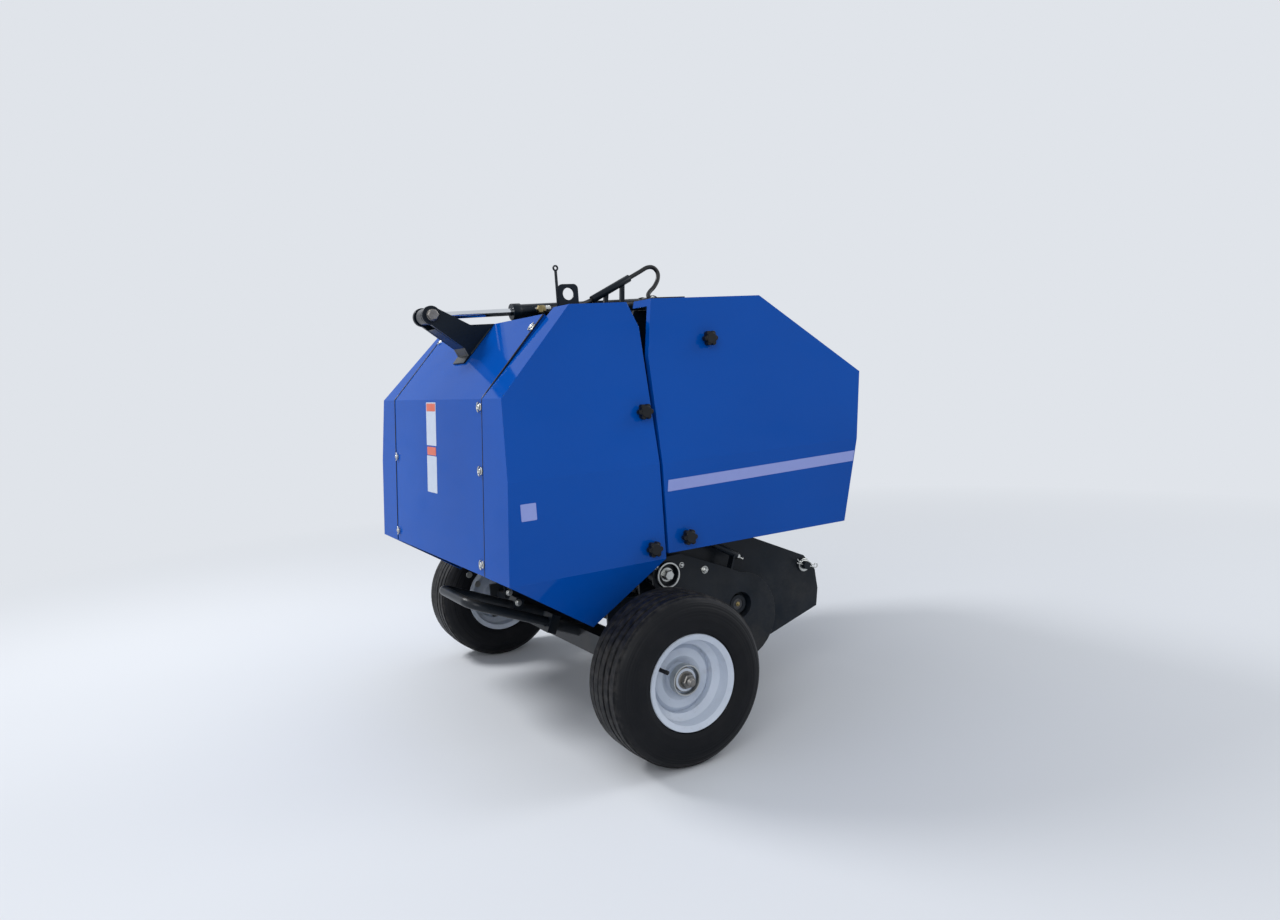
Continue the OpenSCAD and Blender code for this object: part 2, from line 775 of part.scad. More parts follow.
// Point at f between p1 and p2 on the smooth curve through four points
function smooth(p0, p1, p2, p3, f) = 0.5 * (2 * p1 + (p2 - p0) * f + (2 * p0 - 5 * p1 + 4 * p2 - p3) * f * f
    + (3 * p1 - p0 - 3 * p2 + p3) * f * f * f);

module hydraulic_hose() {
    sides = 10;
    steps = 3;
    line = concat([for (i = [0 : hose_end - 1], s = [0 : steps - 1]) smooth(hose_route[max(i - 1, 0)], hose_route[i],
        hose_route[i + 1], hose_route[min(i + 2, hose_end)], s / steps)], [hose_route[hose_end]]);
    rings = [for (i = [0 : len(line) - 1]) let (d = line[min(i + 1, len(line) - 1)] - line[max(i - 1, 0)])
        each ring(line[i], d / norm(d), hose_d / 2, sides)];
    color("black") polyhedron(rings, concat([[for (k = [0 : sides - 1]) k]],
        [for (i = [0 : len(line) - 2], k = [0 : sides - 1]) let (a = i * sides + k, b = i * sides + (k + 1) % sides)
            [a, a + sides, b + sides, b]],
        [[for (k = [sides - 1 : -1 : 0]) (len(line) - 1) * sides + k]]));
}

// Star knob on a cover, with its neck against the sheet
module knob(p) {
    y = face_y(p.y) + 6;
    bar_y(p, knob_d - 12, y, y + 20);
    for (k = [0 : 5]) bar_y(p + (knob_d / 2 - 6.5) * [cos(60 * k), sin(60 * k)], 13, y + 2, y + 18);
    bar_y(p, 18, face_y(p.y - 9) + seat_gap, y + 1);
}

module front_knobs() {
    color("black") on_both() for (p = front_knob_places) knob(p);
}

module gate_knobs() {
    color("black") on_both() for (p = rear_knob_places) knob(p);
}

module stand_sleeve() {
    wall = 6;
    run_gap = 0.5;
    color(dark) difference() {
        translate([leg.x - leg_s / 2 - wall, leg.y - leg_s / 2 - wall, sleeve_z[0]])
            cube([leg_s + 2 * wall, leg_s + 2 * wall, sleeve_z[1] - sleeve_z[0]]);
        translate([leg.x - leg_s / 2 - run_gap, leg.y - leg_s / 2 - run_gap, sleeve_z[0] - 1])
            cube([leg_s + 2 * run_gap, leg_s + 2 * run_gap, sleeve_z[1] - sleeve_z[0] + 2]);
    }
}

module stand_leg() {
    color(dark) difference() {
        union() {
            translate([leg.x - leg_s / 2, leg.y - leg_s / 2, 6]) cube([leg_s, leg_s, leg_top - 6]);
            translate([leg.x - 50, leg.y - 50, 0]) cube([100, 100, 8]);
        }
        for (z = [0 : pin_pitch : leg_up])
            bar_y([leg.x, sleeve_z[0] - 40 - z], 12, leg.y - leg_s, leg.y + leg_s);
    }
}

gate_path = [[-209, top_sheet_z], rear_high + [1, 0], rear_low + [1, 0], rear_low + [26, 0]];
gate_side_top = top_sheet_z - 5;
panel_seat = sheet + seat_gap;
seat_top = gate_path[0] + panel_seat * left_normal(gate_path[0], gate_path[1]);
seat_bend = moved_corner(gate_path[0], gate_path[1], gate_path[2], panel_seat);
seat_low = moved_corner(gate_path[1], gate_path[2], gate_path[3], panel_seat);
gate_outline = [[-100, 362], [-gap_half, 395], [-gap_half, pivot.y - 35], [-40, gate_side_top],
    [on_line([seat_top.y, seat_top.x], [seat_bend.y, seat_bend.x], gate_side_top).y, gate_side_top],
    seat_bend, seat_low, [gate_path[3].x, seat_low.y], [-240, 385]];

module gate_side() {
    color(dark) difference() {
        union() {
            slab(gate_in, gate_out) difference() {
                polygon(gate_outline);
                disc_at(pivot, hinge_r + 2);
            }
            for (a = gate_angles) bearing(roller_at(a), gate_out);
            for (p = rear_knob_places) cover_post(p, gate_out);
            slab(plate_out + 1, plate_out + 1 + hinge_t) {
                disc_at(pivot, hinge_r);
                polygon([pivot + [0, -hinge_r], pivot + [0, hinge_r], [-110, pivot.y + 25], [-110, pivot.y - 55]]);
            }
            slab(gate_out - 1, plate_out + 2)
                polygon([[-60, pivot.y + 25], [-110, pivot.y + 25], [-110, pivot.y - 55], [-60, pivot.y - 50]]);
        }
        for (a = gate_angles) bar_y(roller_at(a), shaft_d + 2 * turn_gap, gate_in - 1, gate_out + bearing_t + 1);
        bar_y(pivot, hinge_d + 2 * turn_gap, gate_in, plate_out + 20);
    }
}
module gate_side_left() { gate_side(); }
module gate_side_right() { on_right() gate_side(); }

panel_half = seam_half - 2;

// Bent sheet between the rear covers, with its sides turned in
module gate_panel() {
    color(blue) {
        slab(-panel_half, panel_half) polygon(strip(gate_path, sheet));
        on_both() slab(panel_half - sheet, panel_half) polygon(strip([for (i = [0 : 2]) gate_path[i]], lip));
    }
}

gate_tube = [-232, top_z - 85];
gate_tube_d = 40;

module gate_crossbars() {
    color(dark) bar_y(gate_tube, gate_tube_d, -gate_in, gate_in);
}

// Clevis of two plates with a web along its lower edge that ends in a foot on the panel
function on_slope(x) = on_line(gate_path[0], gate_path[1], x) + seat_gap * left_normal(gate_path[1], gate_path[0]);
arm_low = [-300, top_z - 76];
arm_foot_x = -288;
arm_peak = [-278, top_sheet_z];
foot_len = 15;
tip_r = 25;
nut_d = 38;
nut_t = 6;
web_short = 18;
arm_under = rod_pin + tip_r * [cos(-97), sin(-97)];
web_t = 5;

module gate_arm() {
    color(dark) {
        on_both() difference() {
            slab(arm_in, arm_out) {
                disc_at(rod_pin, tip_r);
                polygon([arm_under, arm_low, on_slope(arm_foot_x), on_slope(gate_path[0].x), arm_peak,
                    2 * rod_pin - arm_under]);
            }
            translate([rod_pin.x, 0, rod_pin.y]) rotate([0, -slot_tilt, 0]) {
                for (x = [0, slot_len]) bar_y([x, 0], pin_d + 2 * slot_gap, 0, arm_in + slot_deep);
                translate([0, 0, -pin_d / 2 - slot_gap])
                    cube([slot_len, arm_in + slot_deep, pin_d + 2 * slot_gap]);
            }
        }
        on_both() translate([rod_pin.x, arm_out + nut_t, rod_pin.y]) rotate([90, 22.5, 0])
            cylinder(d = nut_d, h = nut_t, $fn = 8);
        slab(-arm_in - 1, arm_in + 1)
            polygon(strip([on_slope(arm_foot_x) + [-1.5, 4], arm_low, beyond(arm_low, arm_under, -web_short)], -web_t));
        slab(-arm_out, arm_out)
            polygon(strip([on_slope(arm_foot_x - foot_len), on_slope(arm_foot_x + foot_len)], web_t));
    }
}

// Plate with an eye on the tailgate's right side plate, and a slim level rod beside it
lug = [-135, top_z + 32];
eye_hole = 30;
lug_r = 12;
lug_w = 54;
level_d = 7;
level = [lug.x - lug_w / 2 - 2, gate_side_top + 115];

module gate_lug() {
    color(dark) on_right() {
        difference() {
            slab(gate_in, gate_out)
                polygon(concat(
                    [lug + [-lug_w / 2, gate_side_top - lug.y], lug + [lug_w / 2, gate_side_top - lug.y]],
                    arc(lug + [lug_w / 2 - lug_r, lug_r], lug_r, 0, 90, 6),
                    arc(lug + [lug_r - lug_w / 2, lug_r], lug_r, 90, 180, 6)));
            bar_y(lug, eye_hole, 0, 500);
        }
        translate([level.x, gate_in + gate_t / 2, gate_side_top])
            cylinder(d = level_d, h = level.y - level_d - gate_side_top);
        difference() {
            bar_y(level, 2 * level_d + 1, gate_in + 1, gate_out - 1);
            bar_y(level, level_d, gate_in, gate_out);
        }
    }
}

module roller(a) {
    p = roller_at(a);
    tube_d = roller_d - 2 * rib_h;
    cap = 12;
    color(dark) {
        difference() {
            bar_y(p, tube_d, -roller_half, roller_half);
            bar_y(p, tube_d - 2 * roller_wall, -roller_half + cap, roller_half - cap);
            for (i = [0 : 2]) at_pin(p, i * 120 + 30)
                bar_y([0, tube_d / 4 + shaft_d / 4], 14, -roller_half - 1, roller_half + 1);
        }
        bar_y(p, shaft_d, -shaft_half, shaft_half);
        for (i = [0 : rib_n - 1]) at_pin(p, i * 360 / rib_n)
            translate([-4, -roller_half, tube_d / 2 - 2]) cube([8, 2 * roller_half, rib_h + 1.9]);
    }
}

// Half of the tyre's section as radius and distance from the centre plane, from bead to shoulder
tyre_r = tyre_d / 2;
bead_r = rim_d / 2 - 11;
wall_out = [[bead_r, 50], [bead_r, 66], [bead_r + 5.5, 69], [bead_r + 11.5, 72], [bead_r + 14.5, 77],
    [bead_r + 25, tyre_w / 2 - 2], [tyre_r - 55, tyre_w / 2], [tyre_r - 33, tyre_w / 2 - 2], [tyre_r - 17, 74],
    [tyre_r - 7, 64]];
wall_in = [[bead_r + 13, 58], [tyre_r - 55, 71], [tyre_r - 31, 67], [tyre_r - 15, 50]];
function flipped(p) = [for (i = [len(p) - 1 : -1 : 0]) [p[i].x, -p[i].y]];
rib_w = 20;
rib_pitch = 24;
tread = [for (k = [2 : -1 : -2]) each
    [[tyre_r - 5, k * rib_pitch + rib_w / 2], [tyre_r - abs(k), k * rib_pitch + rib_w / 2 - 1],
    [tyre_r - abs(k), k * rib_pitch - rib_w / 2 + 1], [tyre_r - 5, k * rib_pitch - rib_w / 2]]];

module tyre() {
    color("black") rotate([-90, 0, 0]) rotate_extrude()
        polygon(concat(wall_out, tread, flipped(wall_out), [for (q = wall_in) [q.x, -q.y]],
            [for (q = flipped(wall_in)) [q.x, -q.y]]));
}

// The rim's outer surface, from flange to flange
rim_r = rim_d / 2;
rim_half = [[rim_r, 73], [rim_r - 5.5, 70.5], [rim_r - 11.5, 68], [rim_r - 12.5, 50], [rim_r - 14.5, 38],
    [rim_r - 29.5, 28]];
rim_t = 3.5;

module rim() {
    color("white") rotate([-90, 0, 0]) {
        rotate_extrude() polygon(strip(concat(rim_half, flipped(rim_half)), -rim_t));
        rotate_extrude() polygon(strip([[26, 6], [36, 6], [54, 18], [70, 18], [rim_r - 30.5, 6]], 4));
        rotate_extrude() translate([stub_d / 2 + turn_gap, -42]) square([12, 84]);
    }
}
module at_wheel(s) { translate([axle.x, s * wheel_y, axle.y]) children(); }
module tyre_left() { at_wheel(1) tyre(); }
module tyre_right() { on_right() tyre_left(); }
module rim_left() { at_wheel(1) rim(); }
module rim_right() { on_right() rim_left(); }

placed() side_plate_left();
placed() side_plate_right();
placed() front_beam();
placed() axle_beam();
placed() top_beam();
placed() front_cover_left();
placed() front_cover_right();
placed() front_hood();
placed() twine_box();
placed() hitch_mast();
placed() gearbox();
placed() pto_guard();
placed() pickup_side_left();
placed() pickup_side_right();
placed() pickup_bands();
placed() bale_bar();
placed() cylinder_base();
placed() front_knobs();
placed() stand_sleeve();
placed() stand_leg();
placed() gate_side_left();
placed() gate_side_right();
placed() gate_panel();
placed() gate_crossbars();
placed() rear_cover_left();
placed() rear_cover_right();
placed() gate_arm();
placed() gate_knobs();
placed() gate_lug();
placed() roller(roller_angles[0]);  // roller_1
placed() roller(roller_angles[1]);  // roller_2
placed() roller(roller_angles[2]);  // roller_3
placed() roller(roller_angles[3]);  // roller_4
placed() roller(roller_angles[4]);  // roller_5
placed() roller(roller_angles[5]);  // roller_6
placed() roller(roller_angles[6]);  // roller_7
placed() roller(roller_angles[7]);  // roller_8
placed() roller(roller_angles[8]);  // roller_9
placed() roller(roller_angles[9]);  // roller_10
placed() roller(roller_angles[10]);  // roller_11
placed() pickup_reel();
placed() cross_shaft();
placed() pto_stub();
placed() cylinder_barrel();
placed() cylinder_rod();
placed() hydraulic_hose();
placed() tyre_left();
placed() tyre_right();
placed() rim_left();
placed() rim_right();
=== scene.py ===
import json
import math

import bmesh
import bpy
from mathutils import Matrix, Vector

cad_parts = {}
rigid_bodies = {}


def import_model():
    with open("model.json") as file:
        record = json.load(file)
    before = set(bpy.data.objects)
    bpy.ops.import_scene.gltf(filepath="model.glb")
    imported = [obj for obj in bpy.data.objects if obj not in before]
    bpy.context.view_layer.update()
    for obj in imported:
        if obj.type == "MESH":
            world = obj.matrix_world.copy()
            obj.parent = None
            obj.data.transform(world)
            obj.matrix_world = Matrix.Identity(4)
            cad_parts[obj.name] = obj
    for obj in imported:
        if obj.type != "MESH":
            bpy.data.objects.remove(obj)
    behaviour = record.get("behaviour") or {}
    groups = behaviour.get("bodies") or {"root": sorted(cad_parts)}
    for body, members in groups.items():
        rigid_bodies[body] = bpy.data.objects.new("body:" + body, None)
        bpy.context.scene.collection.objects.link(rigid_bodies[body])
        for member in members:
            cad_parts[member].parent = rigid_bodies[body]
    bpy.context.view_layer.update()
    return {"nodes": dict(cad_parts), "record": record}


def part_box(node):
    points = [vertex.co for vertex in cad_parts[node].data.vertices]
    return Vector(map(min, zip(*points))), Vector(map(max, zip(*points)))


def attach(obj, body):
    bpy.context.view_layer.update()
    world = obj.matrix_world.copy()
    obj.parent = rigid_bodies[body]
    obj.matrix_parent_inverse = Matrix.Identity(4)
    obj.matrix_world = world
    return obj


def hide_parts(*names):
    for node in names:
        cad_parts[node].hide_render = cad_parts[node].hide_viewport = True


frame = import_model()
print("frame loaded:", len(frame["nodes"]), "nodes")

# Places are in metres: x from the split between tailgate and front half, y to the left, z up
splitX = (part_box("front_cover_right")[0].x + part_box("rear_cover_right")[1].x) / 2
coverHalf = -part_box("front_cover_right")[0].y
bothSides = ((-1, "Right"), (1, "Left"))


def spot(x, y, z):
    return Vector((x + splitX, y, z))


def middleOf(node):
    low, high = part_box(node)
    return (low + high) / 2


def around(degrees):  # direction in the side view: 0 is forwards, 90 is up
    angle = math.radians(degrees)
    return Vector((math.cos(angle), 0, math.sin(angle)))


# Camera, from the vanishing points of the covers' edges; the photo is rolled by about four degrees
camera = {
    "place": (-1.184, -2.498, 0.942),
    "forward": (0.4923, 0.8652, -0.0969),
    "right": (0.8636, -0.4991, -0.0703),
    "lens": 26.9,
    "sensor": 36.0,
}


def makeCamera():
    lens = bpy.data.cameras.new("photoCamera")
    lens.lens = camera["lens"]
    lens.sensor_width = camera["sensor"]
    lens.sensor_fit = "HORIZONTAL"
    body = bpy.data.objects.new("photoCamera", lens)
    bpy.context.scene.collection.objects.link(body)
    back = -Vector(camera["forward"]).normalized()
    side = Vector(camera["right"])
    side = (side - back * side.dot(back)).normalized()
    turned = Matrix((side, back.cross(side), back)).transposed().to_4x4()
    turned.translation = spot(*camera["place"])
    body.matrix_world = turned
    bpy.context.scene.camera = body


makeCamera()
print("camera placed")


# Shader maths: a Wire is an output socket that can stand in a sum
class Wire:
    def __init__(self, board, socket):
        self.board = board
        self.socket = socket

    def maths(self, operation, *values):
        return self.board.add("ShaderNodeMath", {"operation": operation}, dict(enumerate(values)))

    def __add__(self, other):
        return self.maths("ADD", self, other)

    def __sub__(self, other):
        return self.maths("SUBTRACT", self, other)

    def __rsub__(self, other):
        return self.maths("SUBTRACT", other, self)

    def __mul__(self, other):
        return self.maths("MULTIPLY", self, other)

    def __lt__(self, other):
        return self.maths("LESS_THAN", self, other)

    def __abs__(self):
        return self.maths("ABSOLUTE", self)

    def wave(self):  # sine, from -1 to 1
        return self.maths("SINE", self)

    def between(self, start, end):  # 0 at start, 1 at end
        values = {"Value": self, "From Min": start, "From Max": end}
        return self.board.add("ShaderNodeMapRange", {"clamp": True}, values)

    __radd__ = __add__
    __rmul__ = __mul__


# The shader's sockets, by the words that the finishes use, and the places of a colour mix's sockets
shaderSockets = {
    "colour": "Base Color",
    "roughness": "Roughness",
    "metallic": "Metallic",
    "coat": "Coat Weight",
    "coatRoughness": "Coat Roughness",
    "level": "Specular IOR Level",
    "normal": "Normal",
}
mixSockets = {"share": 0, "first": 6, "second": 7, "mixed": 2}


class Board:  # the nodes of one material, or of the world
    def __init__(self, name, store="materials"):
        self.owner = getattr(bpy.data, store).new(name)
        self.owner.use_nodes = True
        self.tree = self.owner.node_tree
        self.tree.nodes.clear()
        self.place = self.add("ShaderNodeTexCoord", {}, {}, "Object")

    def add(self, kind, settings, values, output=0):
        node = self.tree.nodes.new(kind)
        for key, value in settings.items():
            setattr(node, key, value)
        for key, value in values.items():
            if isinstance(value, Wire):
                self.tree.links.new(value.socket, node.inputs[key])
            else:
                node.inputs[key].default_value = value
        return Wire(self, node.outputs[output]) if len(node.outputs) else node

    def vectors(self, operation, first, second):
        return self.add("ShaderNodeVectorMath", {"operation": operation}, {0: first, 1: second})

    def noise(self, scale, detail=3, rough=0.5, stretch=None):
        where = self.vectors("MULTIPLY", self.place, stretch) if stretch else self.place
        values = {"Vector": where, "Scale": scale, "Detail": detail, "Roughness": rough}
        return self.add("ShaderNodeTexNoise", {}, values, "Fac")

    def cells(self, scale):
        return self.add("ShaderNodeTexVoronoi", {}, {"Vector": self.place, "Scale": scale}, "Distance")

    def along(self, axis):  # place along X, Y or Z
        return self.add("ShaderNodeSeparateXYZ", {}, {0: self.place}, axis)

    def reach(self, middle, flat=(1, 1, 1)):  # distance from a point, with the axes weighted
        scaled = self.vectors("MULTIPLY", self.vectors("SUBTRACT", self.place, middle), flat)
        return self.add("ShaderNodeVectorMath", {"operation": "LENGTH"}, {0: scaled}, "Value")

    def facing(self, axis="Z"):  # how much the surface looks that way
        normal = self.add("ShaderNodeNewGeometry", {}, {}, "Normal")
        return self.add("ShaderNodeSeparateXYZ", {}, {0: normal}, axis)

    def blend(self, share, first, second):
        values = {mixSockets["share"]: share, mixSockets["first"]: first, mixSockets["second"]: second}
        settings = {"data_type": "RGBA", "clamp_factor": True}
        return self.add("ShaderNodeMix", settings, values, mixSockets["mixed"])

    def bump(self, height, strength, distance):
        values = {"Height": height, "Strength": strength, "Distance": distance}
        return self.add("ShaderNodeBump", {}, values, "Normal")

    def finish(self, **values):
        sockets = {shaderSockets[word]: value for word, value in values.items()}
        shader = self.add("ShaderNodeBsdfPrincipled", {}, sockets)
        self.add("ShaderNodeOutputMaterial", {}, {"Surface": shader})
        return self.owner

    def backdropRays(self):  # 1 for the rays of the camera, of reflections and of glass
        seen = self.add("ShaderNodeLightPath", {}, {}, "Is Camera Ray")
        for ray in ("Is Glossy Ray", "Is Transmission Ray"):
            seen = seen.maths("MAXIMUM", seen, self.add("ShaderNodeLightPath", {}, {}, ray))
        return seen


def tint(red, green, blue):  # a colour as it is seen, 0 to 255
    def linear(value):
        value /= 255
        return value / 12.92 if value <= 0.04045 else ((value + 0.055) / 1.055) ** 2.4
    return (linear(red), linear(green), linear(blue), 1)


# Dust lies on what looks up and on what is near the ground
dustLook = {"colour": (146, 136, 122), "spots": 9, "grain": 160, "ground": 0.05, "near": 0.8, "up": 0.4}


def dustMask(board, reach, most):
    spots = board.noise(dustLook["spots"], 5, 0.65).between(0.35, 0.75)
    grain = 0.55 + 0.9 * board.noise(dustLook["grain"], 2, 0.6)
    near = 1 - board.along("Z").between(dustLook["ground"], reach)
    up = board.facing().between(0.55, 1.0)
    return (near * dustLook["near"] + up * dustLook["up"]) * spots * grain * most


def dusted(board, dust, colour):
    return board.blend(dust, colour, tint(*dustLook["colour"]))


# The gloss of the blue is all in its coat, so that pale surroundings don't wash the colour out
blueLook = {
    "light": (0, 78, 170),
    "deep": (0, 71, 158),
    "patches": 1.6,
    "rub": 5,
    "dust": 0.1,
    "rough": 0.34,
    "coat": 0.34,
    "coatRough": 0.08,
    "waves": 2.6,
    "waveHeight": 0.004,
}


def bluePaint():
    look = blueLook
    board = Board("bluePaint")
    patches = board.noise(look["patches"], 2).between(0.3, 0.7)
    dust = dustMask(board, 0.5, look["dust"])
    colour = dusted(board, dust, board.blend(patches, tint(*look["light"]), tint(*look["deep"])))
    rub = board.noise(look["rub"], 4, 0.6, (1, 1, 3)).between(0.5, 0.8)
    sheet = board.noise(look["waves"], 1)  # slow waves of the sheet
    return board.finish(colour=colour, roughness=look["rough"] + rub * 0.1 + dust * 0.5, level=0.0,
                        coat=look["coat"] - rub * 0.06 - dust * 0.5, coatRoughness=look["coatRough"],
                        normal=board.bump(sheet, 0.3, look["waveHeight"]))


frameLook = {
    "dark": (11, 20, 29),
    "light": (17, 27, 37),
    "worn": (58, 64, 70),
    "patches": 12,
    "wear": 46,
    "wearMost": 0.35,
    "dust": 0.2,
    "grain": 420,
    "rough": 0.3,
    "level": 0.2,
}


def framePaint():
    look = frameLook
    board = Board("framePaint")
    patches = board.noise(look["patches"], 4).between(0.3, 0.7)
    worn = board.noise(look["wear"], 5, 0.7).between(0.68, 0.74)
    dust = dustMask(board, 0.5, look["dust"])
    colour = board.blend(patches, tint(*look["dark"]), tint(*look["light"]))
    colour = board.blend(worn * look["wearMost"], colour, tint(*look["worn"]))
    grain = board.noise(look["grain"], 2) * 0.3 + board.noise(26, 3)
    rough = look["rough"] + dust * 0.5 + worn * 0.15
    return board.finish(colour=dusted(board, dust, colour), roughness=rough, level=look["level"],
                        normal=board.bump(grain, 0.1, 0.001))


# Pale rims with grime and a few rusty chips
rimLook = {
    "light": (206, 214, 226),
    "shade": (186, 195, 209),
    "grime": (140, 136, 132),
    "grimeMost": 0.45,
    "chip": (96, 70, 52),
    "chips": 95,
    "chipSize": 0.06,
    "rough": 0.4,
    "coat": 0.1,
}


def rimPaint():
    look = rimLook
    board = Board("rimPaint")
    grime = board.noise(30, 6, 0.7).between(0.52, 0.72) * board.noise(110, 3).between(0.3, 0.7)
    chips = (board.cells(look["chips"]) < look["chipSize"]) * board.noise(21, 2).between(0.54, 0.64)
    colour = board.blend(board.noise(16, 4), tint(*look["light"]), tint(*look["shade"]))
    colour = board.blend(grime * look["grimeMost"], colour, tint(*look["grime"]))
    colour = board.blend(chips * 0.7, colour, tint(*look["chip"]))
    return board.finish(colour=colour, roughness=look["rough"] + grime * 0.35, coat=look["coat"],
                        normal=board.bump(board.noise(300, 2), 0.06, 0.001))


# Tyres have fine ribs round the axle on their sides, and a scuffed tread; places are distances from the axle
tyreLook = {
    "dark": (8, 10, 14),
    "light": (13, 15, 20),
    "dust": (112, 108, 104),
    "ribs": 900.0,
    "ribsFrom": (0.150, 0.162),
    "ribsTo": (0.193, 0.197),
    "tread": (0.192, 0.2),
    "rough": 0.5,
    "level": 0.18,
}


def tyreRubber():
    look = tyreLook
    board = Board("tyreRubber")
    axle = middleOf("tyre_right")
    radius = board.reach((axle.x, 0, axle.z), (1, 0, 1))
    flat = abs(board.facing("Y")).between(0.55, 0.9)
    band = radius.between(*look["ribsFrom"]) * (1 - radius.between(*look["ribsTo"]))
    ribs = (radius * look["ribs"]).wave() * band * flat
    dust = board.noise(11, 6, 0.7).between(0.45, 0.8) * (1 - flat * 0.5)
    scuff = radius.between(*look["tread"]) * board.noise(60, 4).between(0.4, 0.7)
    colour = board.blend(board.noise(20, 3), tint(*look["dark"]), tint(*look["light"]))
    colour = board.blend(dust * 0.08 + scuff * 0.16, colour, tint(*look["dust"]))
    height = ribs * 0.5 + board.noise(240, 2) * 0.4 + board.noise(40, 3) * 0.3
    return board.finish(colour=colour, roughness=look["rough"] + dust * 0.3, level=look["level"],
                        normal=board.bump(height, 0.3, 0.0012))


def metal(name, light, dark, rough, grain):
    board = Board(name)
    mix = board.noise(grain, 4, 0.6)
    return board.finish(colour=board.blend(mix, tint(*light), tint(*dark)), metallic=1.0,
                        roughness=rough + mix * 0.18,
                        normal=board.bump(board.noise(grain * 3, 2, 0.6), 0.08, 0.0008))


# The rod is chromed, and painted black at its eye and collar
rodLook = {"chrome": (226, 228, 230), "oiled": (206, 209, 213), "collar": 0.058, "rough": 0.07}


def rodChrome():
    look = rodLook
    board = Board("rodChrome")
    painted = board.along("X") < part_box("cylinder_rod")[0].x + look["collar"]
    oil = board.noise(18, 3, 0.6, (0.4, 1, 1))
    chrome = board.blend(oil, tint(*look["chrome"]), tint(*look["oiled"]))
    return board.finish(colour=board.blend(painted, chrome, tint(*frameLook["dark"])), metallic=1 - painted,
                        roughness=look["rough"] + painted * 0.25 + oil * 0.06,
                        normal=board.bump(board.noise(300, 2, 0.6, (8, 1, 1)), 0.04, 0.0005))


def plastic(name, colour, second, rough):
    board = Board(name)
    mixed = board.blend(board.noise(38, 3), tint(*colour), tint(*second))
    dust = dustMask(board, 0.3, 0.2)
    return board.finish(colour=dusted(board, dust, mixed), roughness=rough + dust * 0.3, level=0.25,
                        normal=board.bump(board.cells(520), 0.12, 0.0006))


# Rubber hose with the faint pattern of its braid
hoseLook = {"dark": (15, 16, 18), "light": (24, 25, 27), "braid": 1500, "rough": 0.42, "level": 0.4}


def hoseRubber():
    look = hoseLook
    board = Board("hoseRubber")
    colour = board.blend(board.noise(60, 3), tint(*look["dark"]), tint(*look["light"]))
    braid = (board.along("X") * look["braid"]).wave() * (board.along("Z") * look["braid"]).wave()
    rough = look["rough"] + 0.1 * board.noise(90, 2)
    return board.finish(colour=colour, roughness=rough, level=look["level"],
                        normal=board.bump(braid, 0.15, 0.0005))


def vinyl(name, colour, edge):
    board = Board(name)
    grime = board.noise(22, 5, 0.65).between(0.5, 0.85)
    mixed = board.blend(grime * 0.25, tint(*colour), tint(*edge))
    return board.finish(colour=mixed, roughness=0.32 + grime * 0.2, coat=0.1,
                        normal=board.bump(board.noise(90, 2), 0.05, 0.0006))


finishes = {
    "blue": bluePaint(),
    "frame": framePaint(),
    "rim": rimPaint(),
    "tyre": tyreRubber(),
    "rod": rodChrome(),
    "zinc": metal("zincPlate", (206, 207, 204), (172, 174, 172), 0.24, 150),
    "steel": metal("wornSteel", (150, 148, 145), (104, 101, 98), 0.36, 90),
    "tine": metal("springSteel", (96, 96, 98), (58, 58, 60), 0.38, 120),
    "brass": metal("brassFitting", (168, 152, 108), (132, 116, 78), 0.3, 120),
    "knob": plastic("knobPlastic", (14, 16, 20), (22, 24, 29), 0.4),
    "hose": hoseRubber(),
    "guard": plastic("guardPlastic", (24, 25, 27), (34, 34, 36), 0.5),
    # The stripe, block and label vinyl are pale; their colours here are that pale colour darkened and blued
    # with painted shade, as of blue skylight
    "white": vinyl("shadedWhiteVinyl", (140, 153, 214), (112, 126, 190)),
    "label": vinyl("shadedLabelVinyl", (186, 197, 215), (160, 172, 194)),
    "orange": vinyl("orangeVinyl", (206, 84, 50), (168, 70, 52)),
}
print("finishes made:", len(finishes))

# What isn't named here has the paint of the frame
sheets = ["front_cover_left", "front_cover_right", "rear_cover_left", "rear_cover_right", "front_hood",
          "gate_panel"]
nodeFinish = {
    "blue": sheets,
    "rim": ["rim_left", "rim_right"],
    "tyre": ["tyre_left", "tyre_right"],
    "rod": ["cylinder_rod"],
    "steel": ["pto_stub"],
    "tine": ["pickup_reel"],
    "knob": ["front_knobs", "gate_knobs"],
    "hose": ["hydraulic_hose"],
    "guard": ["pto_guard"],
}

# Rounded edges, in metres; the CAD mesh itself stays as it is
roundings = {
    0.0015: ["front_knobs", "gate_knobs", "gearbox"],
    0.0008: sheets + ["gate_arm", "gate_lug", "pickup_side_left", "pickup_side_right", "side_plate_left",
                      "side_plate_right", "hitch_mast", "axle_beam", "front_beam", "stand_leg",
                      "stand_sleeve", "cylinder_base", "cylinder_barrel"],
}
edge = {"weld": 0.00002, "segments": 2, "angle": 28}


def softEdges(node, width):
    weld = node.modifiers.new("weld", "WELD")
    weld.merge_threshold = edge["weld"]
    bevel = node.modifiers.new("bevel", "BEVEL")
    bevel.width = width
    bevel.segments = edge["segments"]
    bevel.limit_method = "ANGLE"
    bevel.angle_limit = math.radians(edge["angle"])
    bevel.use_clamp_overlap = False
    bevel.harden_normals = True


def dressNodes():
    for node in frame["nodes"].values():
        node.data.materials.clear()
        node.data.materials.append(finishes["frame"])
    for finish, names in nodeFinish.items():
        for name in names:
            frame["nodes"][name].data.materials[0] = finishes[finish]
    for width, names in roundings.items():
        for name in names:
            softEdges(frame["nodes"][name], width)


dressNodes()
print("nodes dressed")


# Mesh tools
def turnTo(axis):  # turns +Z onto axis
    return Vector((0, 0, 1)).rotation_difference(Vector(axis)).to_matrix().to_4x4()


def circle(count):  # points of a circle with radius 1
    turns = [2 * math.pi * i / count for i in range(count)]
    return [(math.cos(turn), math.sin(turn)) for turn in turns]


